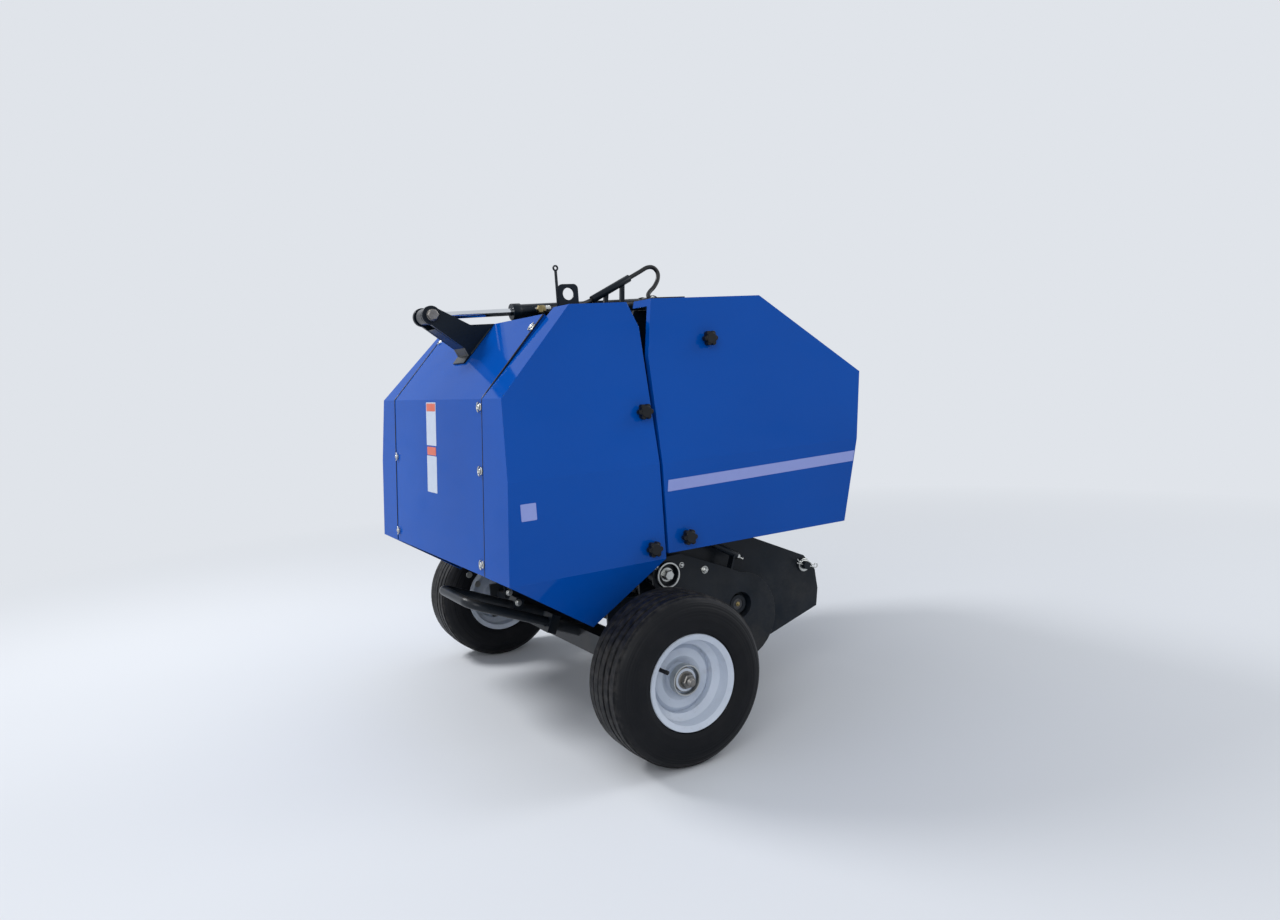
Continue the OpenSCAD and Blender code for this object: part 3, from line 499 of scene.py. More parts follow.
def joinRings(mesh, rings, closed=False):
    # quads between rings of points; a ring of one point is a tip
    pairs = list(zip(rings, rings[1:]))
    if closed:
        pairs.append((rings[-1], rings[0]))
    for first, second in pairs:
        sides = max(len(first), len(second))
        for i in range(sides if sides > 1 else 0):
            k = (i + 1) % sides
            if len(first) == 1:
                mesh.faces.new((first[0], second[k], second[i]))
            elif len(second) == 1:
                mesh.faces.new((first[i], first[k], second[0]))
            else:
                mesh.faces.new((first[i], first[k], second[k], second[i]))


def capEnds(mesh, rings):
    mesh.faces.new(rings[0][::-1])
    mesh.faces.new(rings[-1])


def addTurned(mesh, place, axis, outline, sides=32, closed=False):
    # outline is pairs of radius and height along the axis; radius 0 is a tip, closed joins last to first
    move = Matrix.Translation(place) @ turnTo(axis)
    rings = []
    for radius, height in outline:
        points = circle(sides) if radius else [(0, 0)]
        rings.append([mesh.verts.new(move @ Vector((radius * a, radius * b, height))) for a, b in points])
    joinRings(mesh, rings, closed)


def disc(start, end, radius, inset=0, slope=0):
    # outline of a disc between two heights; its upper edge is set in over the slope
    outline = [(0, start), (radius, start), (radius, end - slope)]
    if inset:
        outline.append((radius - inset, end))
    return outline + [(0, end)]


def threadOutline(crest, root, start, pitch, count):
    outline = []
    for k in range(count):
        outline += [(crest, start + pitch * k), (root, start + pitch * (k + 0.5))]
    return outline


def addSweep(mesh, points, radius, sides=12, loop=False):
    # a round bar along the points; radius is one number, or one for each point
    points = [Vector(p) for p in points]
    radii = radius if isinstance(radius, list) else [radius] * len(points)
    count = len(points)
    ways = []
    for i in range(count):
        before = points[i - 1] if loop or i else points[i]
        after = points[(i + 1) % count] if loop or i < count - 1 else points[i]
        ways.append((after - before).normalized())
    side = ways[0].orthogonal().normalized()
    rings = []
    for point, way, size in zip(points, ways, radii):
        side = (side - way * side.dot(way)).normalized()
        other = way.cross(side)
        rings.append([mesh.verts.new(point + size * (side * a + other * b)) for a, b in circle(sides)])
    joinRings(mesh, rings, loop)
    if not loop:
        capEnds(mesh, rings)


def addPlate(mesh, corners, thickness):
    # a flat plate: corners run counterclockwise seen from outside, and it grows inwards
    corners = [Vector(c) for c in corners]
    normal = (corners[1] - corners[0]).cross(corners[2] - corners[0]).normalized()
    top = [mesh.verts.new(c) for c in corners]
    under = [mesh.verts.new(c - normal * thickness) for c in corners]
    mesh.faces.new(top)
    mesh.faces.new(under[::-1])
    for i in range(len(top)):
        k = (i + 1) % len(top)
        mesh.faces.new((top[i], under[i], under[k], top[k]))


def roundedCorners(corners, radius, count=4):
    # each corner of a flat outline becomes a short arc
    points = []
    corners = [Vector(c) for c in corners]
    for i, corner in enumerate(corners):
        back = (corners[i - 1] - corner).normalized() * radius
        ahead = (corners[(i + 1) % len(corners)] - corner).normalized() * radius
        for k in range(count + 1):
            t = k / count
            points.append(corner + back * (1 - t) ** 2 + ahead * t ** 2)
    return points


# Hexagon: its chamfer starts at this share of the height and ends at this share of the width
hexagon = {"chamferFrom": 0.85, "top": 0.86}


def addHex(mesh, place, axis, across, height):
    move = Matrix.Translation(place) @ turnTo(axis)
    corner = across / math.sqrt(3)
    levels = [(corner, 0), (corner, height * hexagon["chamferFrom"]), (corner * hexagon["top"], height)]
    rings = []
    for radius, level in levels:
        rings.append([mesh.verts.new(move @ Vector((radius * a, radius * b, level))) for a, b in circle(6)])
    joinRings(mesh, rings)
    capEnds(mesh, rings)


# Bolt and round head, in shares of the thread and of the head's radius
bolt = {
    "washer": [(0, 0), (1.1, 0), (1.15, 0.04), (1.15, 0.14), (1.1, 0.18), (0, 0.18)],
    "headFrom": 0.16,
    "across": 1.6,
    "height": 0.65,
    "stud": 0.5,
    "studFrom": 0.7,
    "studTip": 0.1,
}
domeOutline = [(0, 0), (1.25, 0), (1.25, 0.12), (1, 0.14), (1, 0.3), (0.85, 0.58), (0.5, 0.76), (0, 0.82)]


def scaled(outline, size):
    return [(radius * size, height * size) for radius, height in outline]


def addBolt(mesh, place, axis, size, stud=0.0):
    # washer, head and, where a nut shows, the end of its stud; size is the thread in metres
    axis = Vector(axis).normalized()
    place = Vector(place)
    addTurned(mesh, place, axis, scaled(bolt["washer"], size), sides=24)
    addHex(mesh, place + axis * size * bolt["headFrom"], axis, size * bolt["across"], size * bolt["height"])
    if stud:
        tip = size * bolt["studTip"]
        start = size * bolt["studFrom"]
        addTurned(mesh, place, axis, disc(start, start + tip + stud, size * bolt["stud"], tip, tip), sides=14)


def addDome(mesh, place, axis, radius):
    addTurned(mesh, place, axis, scaled(domeOutline, radius), sides=20)


# Weld bead: a bar whose thickness ripples along it
bead = {"pitch": 0.004, "dip": 0.82, "end": 0.55, "sides": 8}


def addBead(mesh, start, end, width):
    count = max(4, int((end - start).length / bead["pitch"]) * 2)
    points = [start.lerp(end, i / count) for i in range(count + 1)]
    radii = [width * (bead["dip"] if i % 2 else 1.0) for i in range(count + 1)]
    radii[0] = radii[-1] = width * bead["end"]
    addSweep(mesh, points, radii, bead["sides"])


sharpFrom = 35  # degrees between two faces


def makePiece(name, mesh, finish, body):
    bmesh.ops.recalc_face_normals(mesh, faces=mesh.faces)
    data = bpy.data.meshes.new(name)
    mesh.to_mesh(data)
    mesh.free()
    data.materials.append(finishes[finish])
    data.shade_smooth()
    data.set_sharp_from_angle(angle=math.radians(sharpFrom))
    piece = bpy.data.objects.new(name, data)
    bpy.context.scene.collection.objects.link(piece)
    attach(piece, body)
    return piece


print("tools ready")

# Return hose of the cylinder, held at both ends: the route of its solid, in metres
hose = {
    "route": [
        (-0.044, -0.037, 1.121), (-0.014, -0.038, 1.122), (0.026, -0.036, 1.125), (0.064, -0.028, 1.131),
        (0.104, -0.020, 1.143), (0.168, -0.020, 1.173), (0.232, -0.020, 1.203), (0.268, -0.020, 1.220),
        (0.296, -0.021, 1.233), (0.316, -0.023, 1.232), (0.328, -0.026, 1.217), (0.324, -0.030, 1.196),
        (0.308, -0.034, 1.175), (0.290, -0.038, 1.161), (0.278, -0.046, 1.150), (0.277, -0.055, 1.142),
        (0.283, -0.062, 1.136),
    ],
    "radius": 0.0063,
    "steps": 8,
    "sides": 20,
}


def smoothRoute(points, steps):
    # rounded curve through all the points
    points = [Vector(p) for p in points]
    line = []
    for i in range(len(points) - 1):
        before = points[max(i - 1, 0)]
        first, second = points[i], points[i + 1]
        after = points[min(i + 2, len(points) - 1)]
        bend = 2 * before - 5 * first + 4 * second - after
        twist = 3 * first - before - 3 * second + after
        for k in range(steps):
            t = k / steps
            line.append(0.5 * (2 * first + (second - before) * t + bend * t ** 2 + twist * t ** 3))
    return line + [points[-1]]


def returnHose():
    mesh = bmesh.new()
    route = smoothRoute(hose["route"], hose["steps"])
    addSweep(mesh, [spot(*p) for p in route], hose["radius"], hose["sides"])
    piece = makePiece("returnHose", mesh, "hose", "barrel")
    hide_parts("hydraulic_hose")


# Crimp on each end of the hose, and the brass nut and elbow nut at its port; heights are along the end
crimp = {
    "radius": 0.0092,
    "waist": 0.92,
    "rim": 0.8,
    "start": -0.006,
    "grooves": (-0.004, 0.0005, 0.005),
    "end": 0.0112,
    "sides": 28,
}
port = {"across": 0.019, "nutAt": 0.011, "nut": 0.013, "elbowAt": 0.028, "elbowY": -0.0075, "elbow": 0.008}


def hoseFittings():
    outer = crimp["radius"]
    waist = outer * crimp["waist"]
    rim = outer * crimp["rim"]
    outline = [(0, crimp["start"]), (rim, crimp["start"]), (outer, crimp["start"] + 0.001)]
    for low in crimp["grooves"]:
        outline += [(outer, low), (waist, low + 0.0008), (waist, low + 0.0022), (outer, low + 0.003)]
    outline += [(outer, crimp["end"] - 0.0007), (rim, crimp["end"]), (0, crimp["end"])]
    route = [Vector(p) for p in hose["route"]]
    crimps = bmesh.new()
    for end, inner in ((route[0], route[1]), (route[-1], route[-2])):
        addTurned(crimps, spot(*end), (end - inner).normalized(), outline, crimp["sides"])
    makePiece("hoseCrimps", crimps, "zinc", "barrel")
    nuts = bmesh.new()
    place = spot(*route[0])
    out = (route[0] - route[1]).normalized()
    elbow = place + out * port["elbowAt"] + Vector((0, port["elbowY"], 0))
    addHex(nuts, place + out * port["nutAt"], out, port["across"], port["nut"])
    addHex(nuts, elbow, (0, -1, 0), port["across"], port["elbow"])
    makePiece("portFitting", nuts, "brass", "barrel")


returnHose()
hoseFittings()
print("hose made")

# Washers and hexagon heads of the pin in the tailgate's arm
armPin = {
    "place": (-0.382, 1.114),
    "face": 0.050,
    "washer": 0.0155,
    "thick": 0.002,
    "across": 0.026,
    "height": 0.009,
}


def armBolts():
    mesh = bmesh.new()
    x, z = armPin["place"]
    washer = disc(0, armPin["thick"], armPin["washer"], 0.0007, 0.0006)
    for side in (-1, 1):
        out = Vector((0, side, 0))
        place = spot(x, side * armPin["face"], z)
        addTurned(mesh, place, out, washer, sides=28)
        addHex(mesh, place + out * (armPin["thick"] - 0.0001), out, armPin["across"], armPin["height"])
    makePiece("armBolts", mesh, "steel", "tailgate")


armBolts()

# Quarter-turn latch: a cup with its stud, as radius and height, and a wire ring that lies flat
latch = {
    "cup": [(0, -0.001), (0.0095, -0.001), (0.0095, 0.0008), (0.0076, 0.0022), (0.00638, 0.0024),
            (0.0058, 0.0016), (0.0058, 0.0042), (0.00464, 0.0052), (0, 0.0052)],
    "ring": 0.011,
    "ringAt": 0.0038,
    "wire": 0.0018,
    "steps": 12,
}

# Middle panel of the tailgate: the planes below and above its fold, latches along its seams, and dark strips
# along its seams that are painted shade where the panel's edges lie in shadow
panel = {
    "foot": (-0.4150, 0.472),
    "fold": (-0.3850, 0.893),
    "lowOut": (-0.9974, 0, 0.0711),
    "highOut": (-0.737, 0, 0.676),
    "latchInset": 0.012,
    "latchesRight": [(-0.387, 0.874), (-0.398, 0.723), (-0.4145, 0.500), (-0.236, 1.0545)],
    "latchesLeft": [(-0.398, 0.725), (-0.4143, 0.503), (-0.231, 1.060)],
    # the strips along the seams are painted shade: dark lines standing in for the shadow on the panel's edges
    "shadeStrips": [((-0.4146, 0.474), (-0.3848, 0.8925)), ((-0.3840, 0.8942), (-0.2105, 1.0835))],
    "shadeStripRadius": 0.0022,
    "sealOut": 0.001,
    "shadeStripSteps": 12,
}


def addLatch(mesh, place, out, along):  # its ring is turned towards along
    addTurned(mesh, place, out, latch["cup"], sides=24)
    middle = place + out * latch["ringAt"]
    reach = latch["ring"]
    across = out.cross(along)
    turns = [math.pi * i / latch["steps"] for i in range(latch["steps"] + 1)]
    bow = [middle + along * reach * math.sin(turn) + across * reach * math.cos(turn) for turn in turns]
    addSweep(mesh, bow, latch["wire"], sides=8)


def panelOut(z):  # outward direction of the panel at a height
    return Vector(panel["lowOut"] if z < panel["fold"][1] else panel["highOut"])


def tailgateLatches():
    mesh = bmesh.new()
    seam = -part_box("gate_panel")[0].y - panel["latchInset"]
    for side, word in bothSides:
        for x, z in panel["latches" + word]:
            addLatch(mesh, spot(x, side * seam, z), panelOut(z), Vector((0, -side, 0)))
    makePiece("tailgateLatches", mesh, "zinc", "tailgate")


def panelShadeStrips():  # dark strip in the gap on each side of the panel: painted shade for the panel's shadowed edge
    mesh = bmesh.new()
    seam = -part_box("gate_panel")[0].y + panel["sealOut"]
    count = panel["shadeStripSteps"]
    for side in (-1, 1):
        points = []
        for stretch in panel["shadeStrips"]:
            start, end = (spot(x, side * seam, z) for x, z in stretch)
            points += [start.lerp(end, i / count) for i in range(count + 1)]
        addSweep(mesh, points, panel["shadeStripRadius"], sides=10)
    # the dark strips paint the shadow along the panel's edges
    makePiece("panelShadeStrips", mesh, "knob", "tailgate")


tailgateLatches()
panelShadeStrips()

# Plain stripe and small block on each side cover
marks = {
    "stripe": [(0.013, 0.635), (0.611, 0.645), (0.619, 0.673), (0.017, 0.663)],
    "block": [(-0.374, 0.615), (-0.336, 0.615), (-0.336, 0.654), (-0.374, 0.654)],
    "lift": 0.0004,
    "thick": 0.00036,
    "corner": 0.002,
}


def sideMark(name, corners, side, body):
    mesh = bmesh.new()
    points = [spot(x, side * (coverHalf + marks["lift"]), z) for x, z in corners]
    if side > 0:
        points.reverse()
    addPlate(mesh, roundedCorners(points, marks["corner"]), marks["thick"])
    makePiece(name, mesh, "white", body)


for side, word in bothSides:
    sideMark("stripe" + word, marks["stripe"], side, "frame")
    sideMark("block" + word, marks["block"], side, "tailgate")

# The pair of blank labels on the tailgate, each a strip with its header
labels = {
    "right": -0.020,
    "left": 0.062,
    "corner": 0.003,
    "thick": 0.8,  # share of the lift
    "parts": [
        # name, bottom, top, inset, lift, finish
        ("lowStrip", 0.643, 0.742, 0.0, 0.0003, "label"),
        ("lowHeader", 0.744, 0.766, 0.004, 0.0006, "orange"),
        ("highStrip", 0.770, 0.886, 0.0, 0.0003, "label"),
        ("highHeader", 0.862, 0.883, 0.004, 0.0006, "orange"),
    ],
}


def tailgateLabels():
    footX, footZ = panel["foot"]
    foldX, foldZ = panel["fold"]
    slope = (foldX - footX) / (foldZ - footZ)
    out = Vector(panel["lowOut"])
    for name, low, high, inset, lift, finish in labels["parts"]:
        mesh = bmesh.new()
        right = labels["right"] + inset
        left = labels["left"] - inset
        corners = [spot(footX + slope * (z - footZ), y, z) + out * lift
                   for y, z in ((left, low), (right, low), (right, high), (left, high))]
        addPlate(mesh, roundedCorners(corners, labels["corner"]), lift * labels["thick"])
        makePiece(name, mesh, finish, "tailgate")


tailgateLabels()
print("marks, labels and latches made")

# Hub of each wheel, as radius and distance from the wheel's middle, and the valve of its tyre
hub = {
    "ring": [(0.0330, 0.030), (0.0330, 0.046), (0.0340, 0.048), (0.0365, 0.048), (0.0377, 0.045),
             (0.0377, 0.030)],
    "flange": disc(0.034, 0.0415, 0.029, 0.003, 0.0015),
    "washer": disc(0.041, 0.0455, 0.021, 0.001, 0.001),
    "thread": [(0, 0.058)] + threadOutline(0.0090, 0.0082, 0.060, 0.002, 6)
              + [(0.0085, 0.072), (0.0072, 0.0735), (0, 0.0735)],
    "nutAt": 0.045,
    "across": 0.030,
    "nut": 0.016,
}
valve = {
    "angle": 150,
    "radius": 0.085,
    "out": 0.024,
    "length": 0.024,
    "lean": 0.016,
    "radii": [0.0075, 0.0066, 0.0052, 0.0048, 0.0046],
    "cap": disc(0, 0.0105, 0.0052, 0.0012, 0.0015),
}


def wheelTrim(side, word):
    out = Vector((0, side, 0))
    middle = middleOf("tyre_" + word.lower())
    wheel = "wheel_" + word.lower()
    mesh = bmesh.new()
    addTurned(mesh, middle, out, hub["ring"], sides=40, closed=True)
    makePiece("hubRing" + word, mesh, "zinc", wheel)
    mesh = bmesh.new()
    addTurned(mesh, middle, out, hub["flange"], sides=32)
    addTurned(mesh, middle, out, hub["washer"], sides=32)
    addHex(mesh, middle + out * hub["nutAt"], out, hub["across"], hub["nut"])
    addTurned(mesh, middle, out, hub["thread"], sides=20)
    makePiece("hubNut" + word, mesh, "steel", wheel)
    mesh = bmesh.new()
    across = around(valve["angle"])
    foot = middle + across * valve["radius"] + out * valve["out"]
    tip = foot + out * valve["length"] - across * valve["lean"]
    way = (tip - foot).normalized()
    stem = [foot - out * 0.004, foot + way * 0.006, foot + way * 0.010, tip - way * 0.006, tip]
    addSweep(mesh, stem, valve["radii"], sides=14)
    addTurned(mesh, tip, way, valve["cap"], sides=14)
    makePiece("valve" + word, mesh, "knob", wheel)


for side, word in bothSides:
    wheelTrim(side, word)
print("wheel trim made")

# Pick-up's side plates: drive ring, round heads and bolt, sunk drive bolt, nipple of the reel, depth adjuster
pickup = {
    "face": 0.420,
    "drive": (0.055, 0.406),
    "ringAt": 0.426,
    "ring": [(0.0288, 0), (0.0288, 0.0022), (0.0295, 0.003), (0.0328, 0.003), (0.0336, 0.0022), (0.0336, 0)],
    "domes": [(0.025, 0.431), (0.100, 0.424), (0.054, 0.366)],
    "domeRadius": 0.0058,
    "slotBolt": (0.170, 0.400),
    "slotThread": 0.009,
    "slotStud": 0.003,
    "driveAt": 0.415,
    "driveWasher": disc(0, 0.0036, 0.019, 0.001, 0.0008),
    "driveAcross": 0.024,
    "driveHead": 0.015,
    "nippleAt": 0.407,
    "nipple": [(0, -0.001), (0.0062, -0.001), (0.0062, 0.002), (0.004, 0.0026), (0.0036, 0.005),
               (0.0022, 0.0062), (0, 0.0064)],
    "adjuster": [(0.286, 0.417), (0.206, 0.464)],
    "adjusterAt": 0.404,
    "screw": [(0, 0)] + threadOutline(0.0052, 0.0045, 0, 0.0015, 16) + [(0, 0.0255)],
    "screwBack": 0.022,
    "nutBack": 0.006,
    "nutAcross": 0.016,
    "nut": 0.007,
}


def pickupTrim(side, word):
    out = Vector((0, side, 0))
    x, z = pickup["drive"]
    mesh = bmesh.new()
    addTurned(mesh, spot(x, side * pickup["ringAt"], z), out, pickup["ring"], sides=48, closed=True)
    for domeX, domeZ in pickup["domes"]:
        addDome(mesh, spot(domeX, side * pickup["face"], domeZ), out, pickup["domeRadius"])
    slotX, slotZ = pickup["slotBolt"]
    slot = spot(slotX, side * pickup["face"], slotZ)
    addBolt(mesh, slot, out, pickup["slotThread"], pickup["slotStud"])
    makePiece("driveRing" + word, mesh, "zinc", "frame")
    mesh = bmesh.new()
    drive = spot(x, side * pickup["driveAt"], z)
    addTurned(mesh, drive, out, pickup["driveWasher"], sides=32)
    addHex(mesh, drive + out * 0.0035, out, pickup["driveAcross"], pickup["driveHead"])
    makePiece("driveBolt" + word, mesh, "zinc", "frame")
    mesh = bmesh.new()
    reel = middleOf("pickup_reel")
    addTurned(mesh, Vector((reel.x, side * pickup["nippleAt"], reel.z)), out, pickup["nipple"], sides=20)
    makePiece("greaseNipple" + word, mesh, "brass", "reel")
    mesh = bmesh.new()
    first, second = (spot(a, side * pickup["adjusterAt"], b) for a, b in pickup["adjuster"])
    way = (second - first).normalized()
    addTurned(mesh, first - way * pickup["screwBack"], way, pickup["screw"], sides=14)
    addHex(mesh, first - way * pickup["nutBack"], way, pickup["nutAcross"], pickup["nut"])
    makePiece("adjusterScrew" + word, mesh, "zinc", "frame")


for side, word in bothSides:
    pickupTrim(side, word)
print("pick-up trim made")

# Washer and wire clip on each lower hitch pin; the clip's places are along it and up from it
hitchPin = {
    "place": (0.546, 0.343),
    "face": 0.366,
    "washer": [(0.0115, 0), (0.0190, 0), (0.0190, 0.0018), (0.0182, 0.0024), (0.0122, 0.0024),
               (0.0115, 0.0018)],
    "clipAt": 0.375,
    "wire": 0.0016,
    "lean": -20,
    "leg": (-0.034, -0.01, 0.01, 0.030),
    "loopAt": 0.036,
    "loop": 0.006,
    "bow": [(0.020, 0.0065), (0.013, 0.0105), (0, 0.0135), (-0.013, 0.0105), (-0.020, 0.0045),
            (-0.028, 0.006), (-0.036, 0.011)],
}


def hitchClip(side, word):
    mesh = bmesh.new()
    x, z = hitchPin["place"]
    washerAt = spot(x, side * hitchPin["face"], z)
    addTurned(mesh, washerAt, Vector((0, side, 0)), hitchPin["washer"], sides=40, closed=True)
    wire = [(a, 0) for a in hitchPin["leg"]]
    size = hitchPin["loop"]
    for turn in range(30, 271, 30):
        angle = math.radians(turn)
        wire.append((hitchPin["loopAt"] + size * math.sin(angle), size - size * math.cos(angle)))
    middle = spot(x, side * hitchPin["clipAt"], z)
    way = around(hitchPin["lean"])
    up = around(hitchPin["lean"] + 90)
    addSweep(mesh, [middle + way * a + up * b for a, b in wire + hitchPin["bow"]], hitchPin["wire"], sides=8)
    makePiece("hitchClip" + word, mesh, "zinc", "frame")


for side, word in bothSides:
    hitchClip(side, word)

# Bolts round each flanged bearing; the bearings stand on the side plates of the frame or of the tailgate
bearings = {"frame": 0.365, "tailgate": 0.364, "circle": 0.0325, "thread": 0.0045, "turns": (30, 150, 270)}


def bearingBolts():
    meshes = {"frame": bmesh.new(), "tailgate": bmesh.new()}
    for joint in frame["record"]["behaviour"]["joints"]:
        if not joint["name"].startswith("roller") or joint["name"] == "roller_1_spin":
            continue
        x, _, z = joint["pos_m"]
        body = joint["parent"]
        for side in (-1, 1):
            for turn in bearings["turns"]:
                place = Vector((x, side * bearings[body], z)) + around(turn) * bearings["circle"]
                addBolt(meshes[body], place, (0, side, 0), bearings["thread"])
    for body, mesh in meshes.items():
        makePiece(body + "BearingBolts", mesh, "zinc", body)


bearingBolts()
print("bolts and clips made")

# Gearbox: bolts of the guard and of the side cover, filler cap with its breather, and drain plug
gear = {
    "guardBolts": 6,
    "guardCircle": 0.039,
    "guardIn": 0.003,
    "guardThread": 0.008,
    "sideBolts": 4,
    "sideX": 0.520,
    "sideIn": 0.017,
    "sideCircle": 0.025,
    "sideThread": 0.006,
    "across": 0.019,
    "cap": 0.008,
    "breather": [(0, 0), (0.006, 0), (0.0052, 0.004), (0, 0.005)],
    "drainY": 0.02,
    "drain": 0.009,
}


def gearboxTrim():
    low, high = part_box("gearbox")
    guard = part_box("pto_guard")
    middleZ = (guard[0].z + guard[1].z) / 2
    mesh = bmesh.new()
    face = guard[0].x + gear["guardIn"]
    for i in range(gear["guardBolts"]):
        angle = 2 * math.pi * (i + 0.5) / gear["guardBolts"]
        place = Vector((0, math.cos(angle), math.sin(angle))) * gear["guardCircle"]
        addBolt(mesh, place + Vector((face, 0, middleZ)), (1, 0, 0), gear["guardThread"])
    cover = spot(gear["sideX"], high.y - gear["sideIn"], middleZ)
    for i in range(gear["sideBolts"]):
        turn = 360 * (i + 0.5) / gear["sideBolts"]
        addBolt(mesh, cover + around(turn) * gear["sideCircle"], (0, 1, 0), gear["sideThread"])
    makePiece("gearboxBolts", mesh, "zinc", "frame")
    mesh = bmesh.new()
    capX = (low.x + guard[0].x) / 2
    addHex(mesh, Vector((capX, 0, high.z)), (0, 0, 1), gear["across"], gear["cap"])
    addTurned(mesh, Vector((capX, 0, high.z + gear["cap"])), (0, 0, 1), gear["breather"], sides=16)
    addHex(mesh, Vector((capX, gear["drainY"], low.z)), (0, 0, -1), gear["across"], gear["drain"])
    makePiece("gearboxPlugs", mesh, "brass", "frame")


# Splined drive stub with a locking groove; half a spline and its flank are in degrees
splines = {
    "count": 6,
    "outer": 0.0174,
    "inner": 0.0148,
    "grooveRadius": 0.0152,
    "half": 13,
    "flank": 3,
    "groove": (0.036, 0.043),
    "chamfer": 0.0025,
    "seal": 0.022,
    "sealOut": 0.004,
}


def splineRing(mesh, x, middleZ, outer):
    inner = splines["inner"]
    half = splines["half"]
    foot = half + splines["flank"]
    pitch = 360 / splines["count"]
    crest = [(-half, outer), (0, outer), (half, outer)]
    root = [(foot, inner), (pitch / 2, inner), (pitch - foot, inner)]
    ring = []
    for i in range(splines["count"]):
        for turn, radius in crest + root:
            angle = math.radians(pitch * i + turn)
            ring.append(mesh.verts.new((x, radius * math.cos(angle), middleZ + radius * math.sin(angle))))
    return ring


def splinedStub():
    low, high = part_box("pto_stub")
    middleZ = (low.z + high.z) / 2
    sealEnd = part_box("gearbox")[1].x + splines["sealOut"]
    length = sealEnd - low.x
    mesh = bmesh.new()
    seal = disc(0, length, splines["seal"], 0.001, 0.001)
    addTurned(mesh, Vector((low.x, 0, middleZ)), (1, 0, 0), seal, sides=40)
    grooveEnd, grooveStart = (high.x - back for back in splines["groove"])
    full = splines["outer"]
    cut = splines["grooveRadius"]
    levels = [(sealEnd - 0.001, full), (grooveStart, full), (grooveStart + 0.001, cut),
              (grooveEnd - 0.001, cut), (grooveEnd, full), (high.x - splines["chamfer"], full), (high.x, cut)]
    rings = [splineRing(mesh, x, middleZ, outer) for x, outer in levels]
    joinRings(mesh, rings)
    capEnds(mesh, rings)
    piece = makePiece("splinedStub", mesh, "steel", "pto")
    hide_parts("pto_stub")


gearboxTrim()
splinedStub()
print("gearbox trim and splines made")

# Hood: hinge knuckles behind, and a latch on each side of its slope from top to nose
hood = {
    "hinge": (0.335, 1.1045),
    "hingesAt": (-0.26, 0.26),
    "knuckle": 0.0055,
    "length": 0.020,
    "gap": 0.0004,
    "pinEnd": disc(0, 0.003, 0.0035),
    "pinOut": 0.002,
    "top": (0.375, 1.107),
    "nose": (0.679, 0.887),
    "latchShare": 0.78,
    "latchY": 0.348,
}


def hoodHinges():
    x, z = hood["hinge"]
    length = hood["length"]
    knuckle = disc(0, length - 2 * hood["gap"], hood["knuckle"])
    fixed = bmesh.new()
    moving = bmesh.new()
    for y in hood["hingesAt"]:
        for i, mesh in ((-1, fixed), (0, moving), (1, fixed)):
            start = spot(x, y + (i - 0.5) * length + hood["gap"], z)
            addTurned(mesh, start, (0, 1, 0), knuckle, sides=20)
        addTurned(fixed, spot(x, y - length * 1.5 - hood["pinOut"], z), (0, 1, 0), hood["pinEnd"], sides=16)
    makePiece("hingeKnuckles", fixed, "frame", "frame")
    makePiece("hoodKnuckles", moving, "frame", "hood")


def hoodLatches():
    mesh = bmesh.new()
    top, nose = (spot(x, 0, z) for x, z in (hood["top"], hood["nose"]))
    out = Vector((top.z - nose.z, 0, nose.x - top.x)).normalized()
    middle = top.lerp(nose, hood["latchShare"])
    for side in (-1, 1):
        addLatch(mesh, middle + Vector((0, side * hood["latchY"], 0)), out, Vector((0, -side, 0)))
    makePiece("hoodLatches", mesh, "zinc", "hood")


# Thin black strip on the top edge of the right front cover
strip = {"x": (0.052, 0.150), "y": (-0.446, -0.374), "z": 1.1103, "corner": 0.008, "thick": 0.003}


def coverStrip():
    mesh = bmesh.new()
    (back, front), (right, left) = strip["x"], strip["y"]
    corners = [(back, right), (front, right), (front, left), (back, left)]
    points = [spot(x, y, strip["z"]) for x, y in corners]
    addPlate(mesh, roundedCorners(points, strip["corner"]), strip["thick"])
    makePiece("coverStrip", mesh, "guard", "frame")


hoodHinges()
hoodLatches()
coverStrip()

# Pin of the stand: its head with a pull ring on the left, its tail on the right
standPin = {
    "height": 0.455,
    "head": [(0, -0.001), (0.010, -0.001), (0.010, 0.003), (0.006, 0.004), (0.006, 0.013), (0.0045, 0.015),
             (0, 0.015)],
    "tail": disc(-0.001, 0.012, 0.006, 0.0015, 0.002),
    "ring": 0.016,
    "ringAt": 0.0095,
    "ringTilt": 0.003,
    "wire": 0.0014,
    "steps": 24,
}


def standPinPiece():
    low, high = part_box("stand_sleeve")
    mesh = bmesh.new()
    left = Vector(((low.x + high.x) / 2, high.y, standPin["height"]))
    right = Vector((left.x, low.y, left.z))
    addTurned(mesh, left, (0, 1, 0), standPin["head"], sides=24)
    addTurned(mesh, right, (0, -1, 0), standPin["tail"], sides=24)
    ring = standPin["ring"]
    middle = left + Vector((0, standPin["ringAt"], -ring))
    tilt = standPin["ringTilt"]
    points = [middle + Vector((ring * b, tilt * b, ring * a)) for a, b in circle(standPin["steps"])]
    addSweep(mesh, points, standPin["wire"], sides=8, loop=True)
    makePiece("standPin", mesh, "zinc", "frame")


standPinPiece()

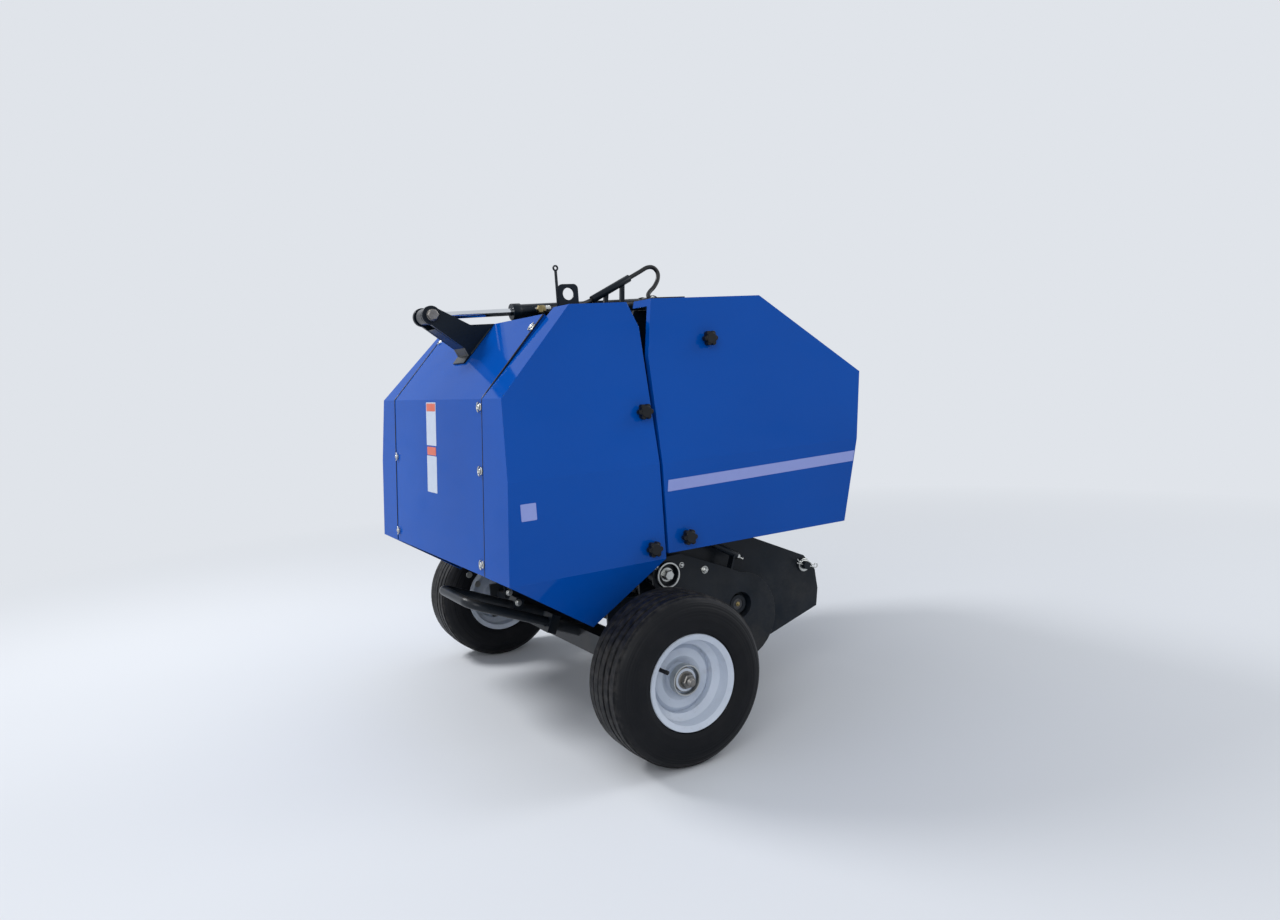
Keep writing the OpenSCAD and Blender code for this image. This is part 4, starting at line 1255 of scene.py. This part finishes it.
# Weld beads: start and end in x, y, z, repeated on both sides
welds = {
    "width": 0.0032,
    "frame": [
        ((-0.072, 0.4695, 0.2355), (-0.014, 0.4695, 0.2355)),
        ((-0.072, 0.4695, 0.1745), (-0.014, 0.4695, 0.1745)),
        ((-0.0735, 0.4695, 0.176), (-0.0735, 0.4695, 0.234)),
        ((-0.0125, 0.4695, 0.176), (-0.0125, 0.4695, 0.234)),
        ((0.406, 0.3515, 0.6355), (0.474, 0.3515, 0.6355)),
        ((0.406, 0.3515, 0.5645), (0.474, 0.3515, 0.5645)),
        ((0.4745, 0.3515, 0.566), (0.4745, 0.3515, 0.634)),
        ((0.266, 0.026, 1.0911), (0.266, 0.034, 1.0911)),
    ],
    "tailgate": [
        ((-0.283, 0.0445, 1.007), (-0.222, 0.0445, 1.073)),
        ((-0.283, 0.0315, 1.007), (-0.222, 0.0315, 1.073)),
    ],
}


def weldBeads():
    for body in ("frame", "tailgate"):
        mesh = bmesh.new()
        for ends in welds[body]:
            for side in (-1, 1):
                start, end = (spot(x, side * y, z) for x, y, z in ends)
                addBead(mesh, start, end, welds["width"])
        makePiece(body + "Welds", mesh, "frame", body)


weldBeads()

# Bolts through the clamps of the bale bar
clamp = {"places": [(-0.275, 0.373), (-0.252, 0.341)], "face": 0.153, "thread": 0.008}


def clampBolts():
    mesh = bmesh.new()
    for side in (-1, 1):
        for x, z in clamp["places"]:
            addBolt(mesh, spot(x, side * clamp["face"], z), (0, side, 0), clamp["thread"])
    makePiece("clampBolts", mesh, "zinc", "frame")


clampBolts()
print("hood, stand and weld trim made")

# Room: pale floor that runs into the backdrop between near and far, and a soft blue-white light
room = {
    "floor": (220, 223, 228),
    "mottle": 5,
    "floorRough": 0.9,
    "floorLevel": 0.1,
    "sky": (224, 228, 234),
    "light": (0.88, 0.93, 1.0, 1),
    "lightLevel": 0.5,
    "half": 60,
    "under": 0.0005,
    "near": 0.7,
    "far": 4.2,
}


def paleFloor():
    board = Board("paleFloor")
    shade = [value - room["mottle"] for value in room["floor"]]
    colour = board.blend(board.noise(0.8, 2), tint(*room["floor"]), tint(*shade))
    values = {"Base Color": colour, "Roughness": room["floorRough"], "Specular IOR Level": room["floorLevel"]}
    ground = board.add("ShaderNodeBsdfPrincipled", {}, values)
    glow = board.add("ShaderNodeEmission", {}, {"Color": tint(*room["sky"]), "Strength": 1.0})
    far = board.reach((0, 0, 0)).between(room["near"], room["far"])
    mixed = board.add("ShaderNodeMixShader", {}, {0: far * board.backdropRays(), 1: ground, 2: glow})
    board.add("ShaderNodeOutputMaterial", {}, {"Surface": mixed})
    return board.owner


def makeRoom():
    mesh = bmesh.new()
    half = room["half"]
    corners = ((-half, -half), (half, -half), (half, half), (-half, half))
    mesh.faces.new([mesh.verts.new((x, y, -room["under"])) for x, y in corners])
    data = bpy.data.meshes.new("floor")
    mesh.to_mesh(data)
    mesh.free()
    data.materials.append(paleFloor())
    floor = bpy.data.objects.new("floor", data)
    bpy.context.scene.collection.objects.link(floor)


# What the camera and reflections see of the world is the pale backdrop; the rest is the soft light
def makeWorld():
    board = Board("studio", "worlds")
    backdrop = board.add("ShaderNodeBackground", {}, {"Color": tint(*room["sky"]), "Strength": 1.0})
    soft = board.add("ShaderNodeBackground", {}, {"Color": room["light"], "Strength": room["lightLevel"]})
    mixed = board.add("ShaderNodeMixShader", {}, {0: board.backdropRays(), 1: soft, 2: backdrop})
    board.add("ShaderNodeOutputWorld", {}, {"Surface": mixed})
    bpy.context.scene.world = board.owner


lamps = [
    # name, place, aim, size, watts
    ("keyLamp", (-2.4, 2.4, 3.8), (0, 0, 0.5), 1.4, 150),
    ("fillLamp", (-2.8, -3.4, 2.6), (0, 0, 0.6), 2.8, 60),
    ("frontLamp", (3.4, -1.6, 2.8), (0, 0, 0.6), 2.4, 45),
]


def makeLamps():
    for name, place, aim, size, watts in lamps:
        light = bpy.data.lights.new(name, "AREA")
        light.shape = "DISK"
        light.size = size
        light.energy = watts
        lamp = bpy.data.objects.new(name, light)
        lamp.location = place
        lamp.rotation_euler = (Vector(aim) - Vector(place)).to_track_quat("-Z", "Y").to_euler()
        bpy.context.scene.collection.objects.link(lamp)


makeRoom()
makeWorld()
makeLamps()
bpy.context.scene.view_settings.view_transform = "Standard"
print("room, world and lamps made")
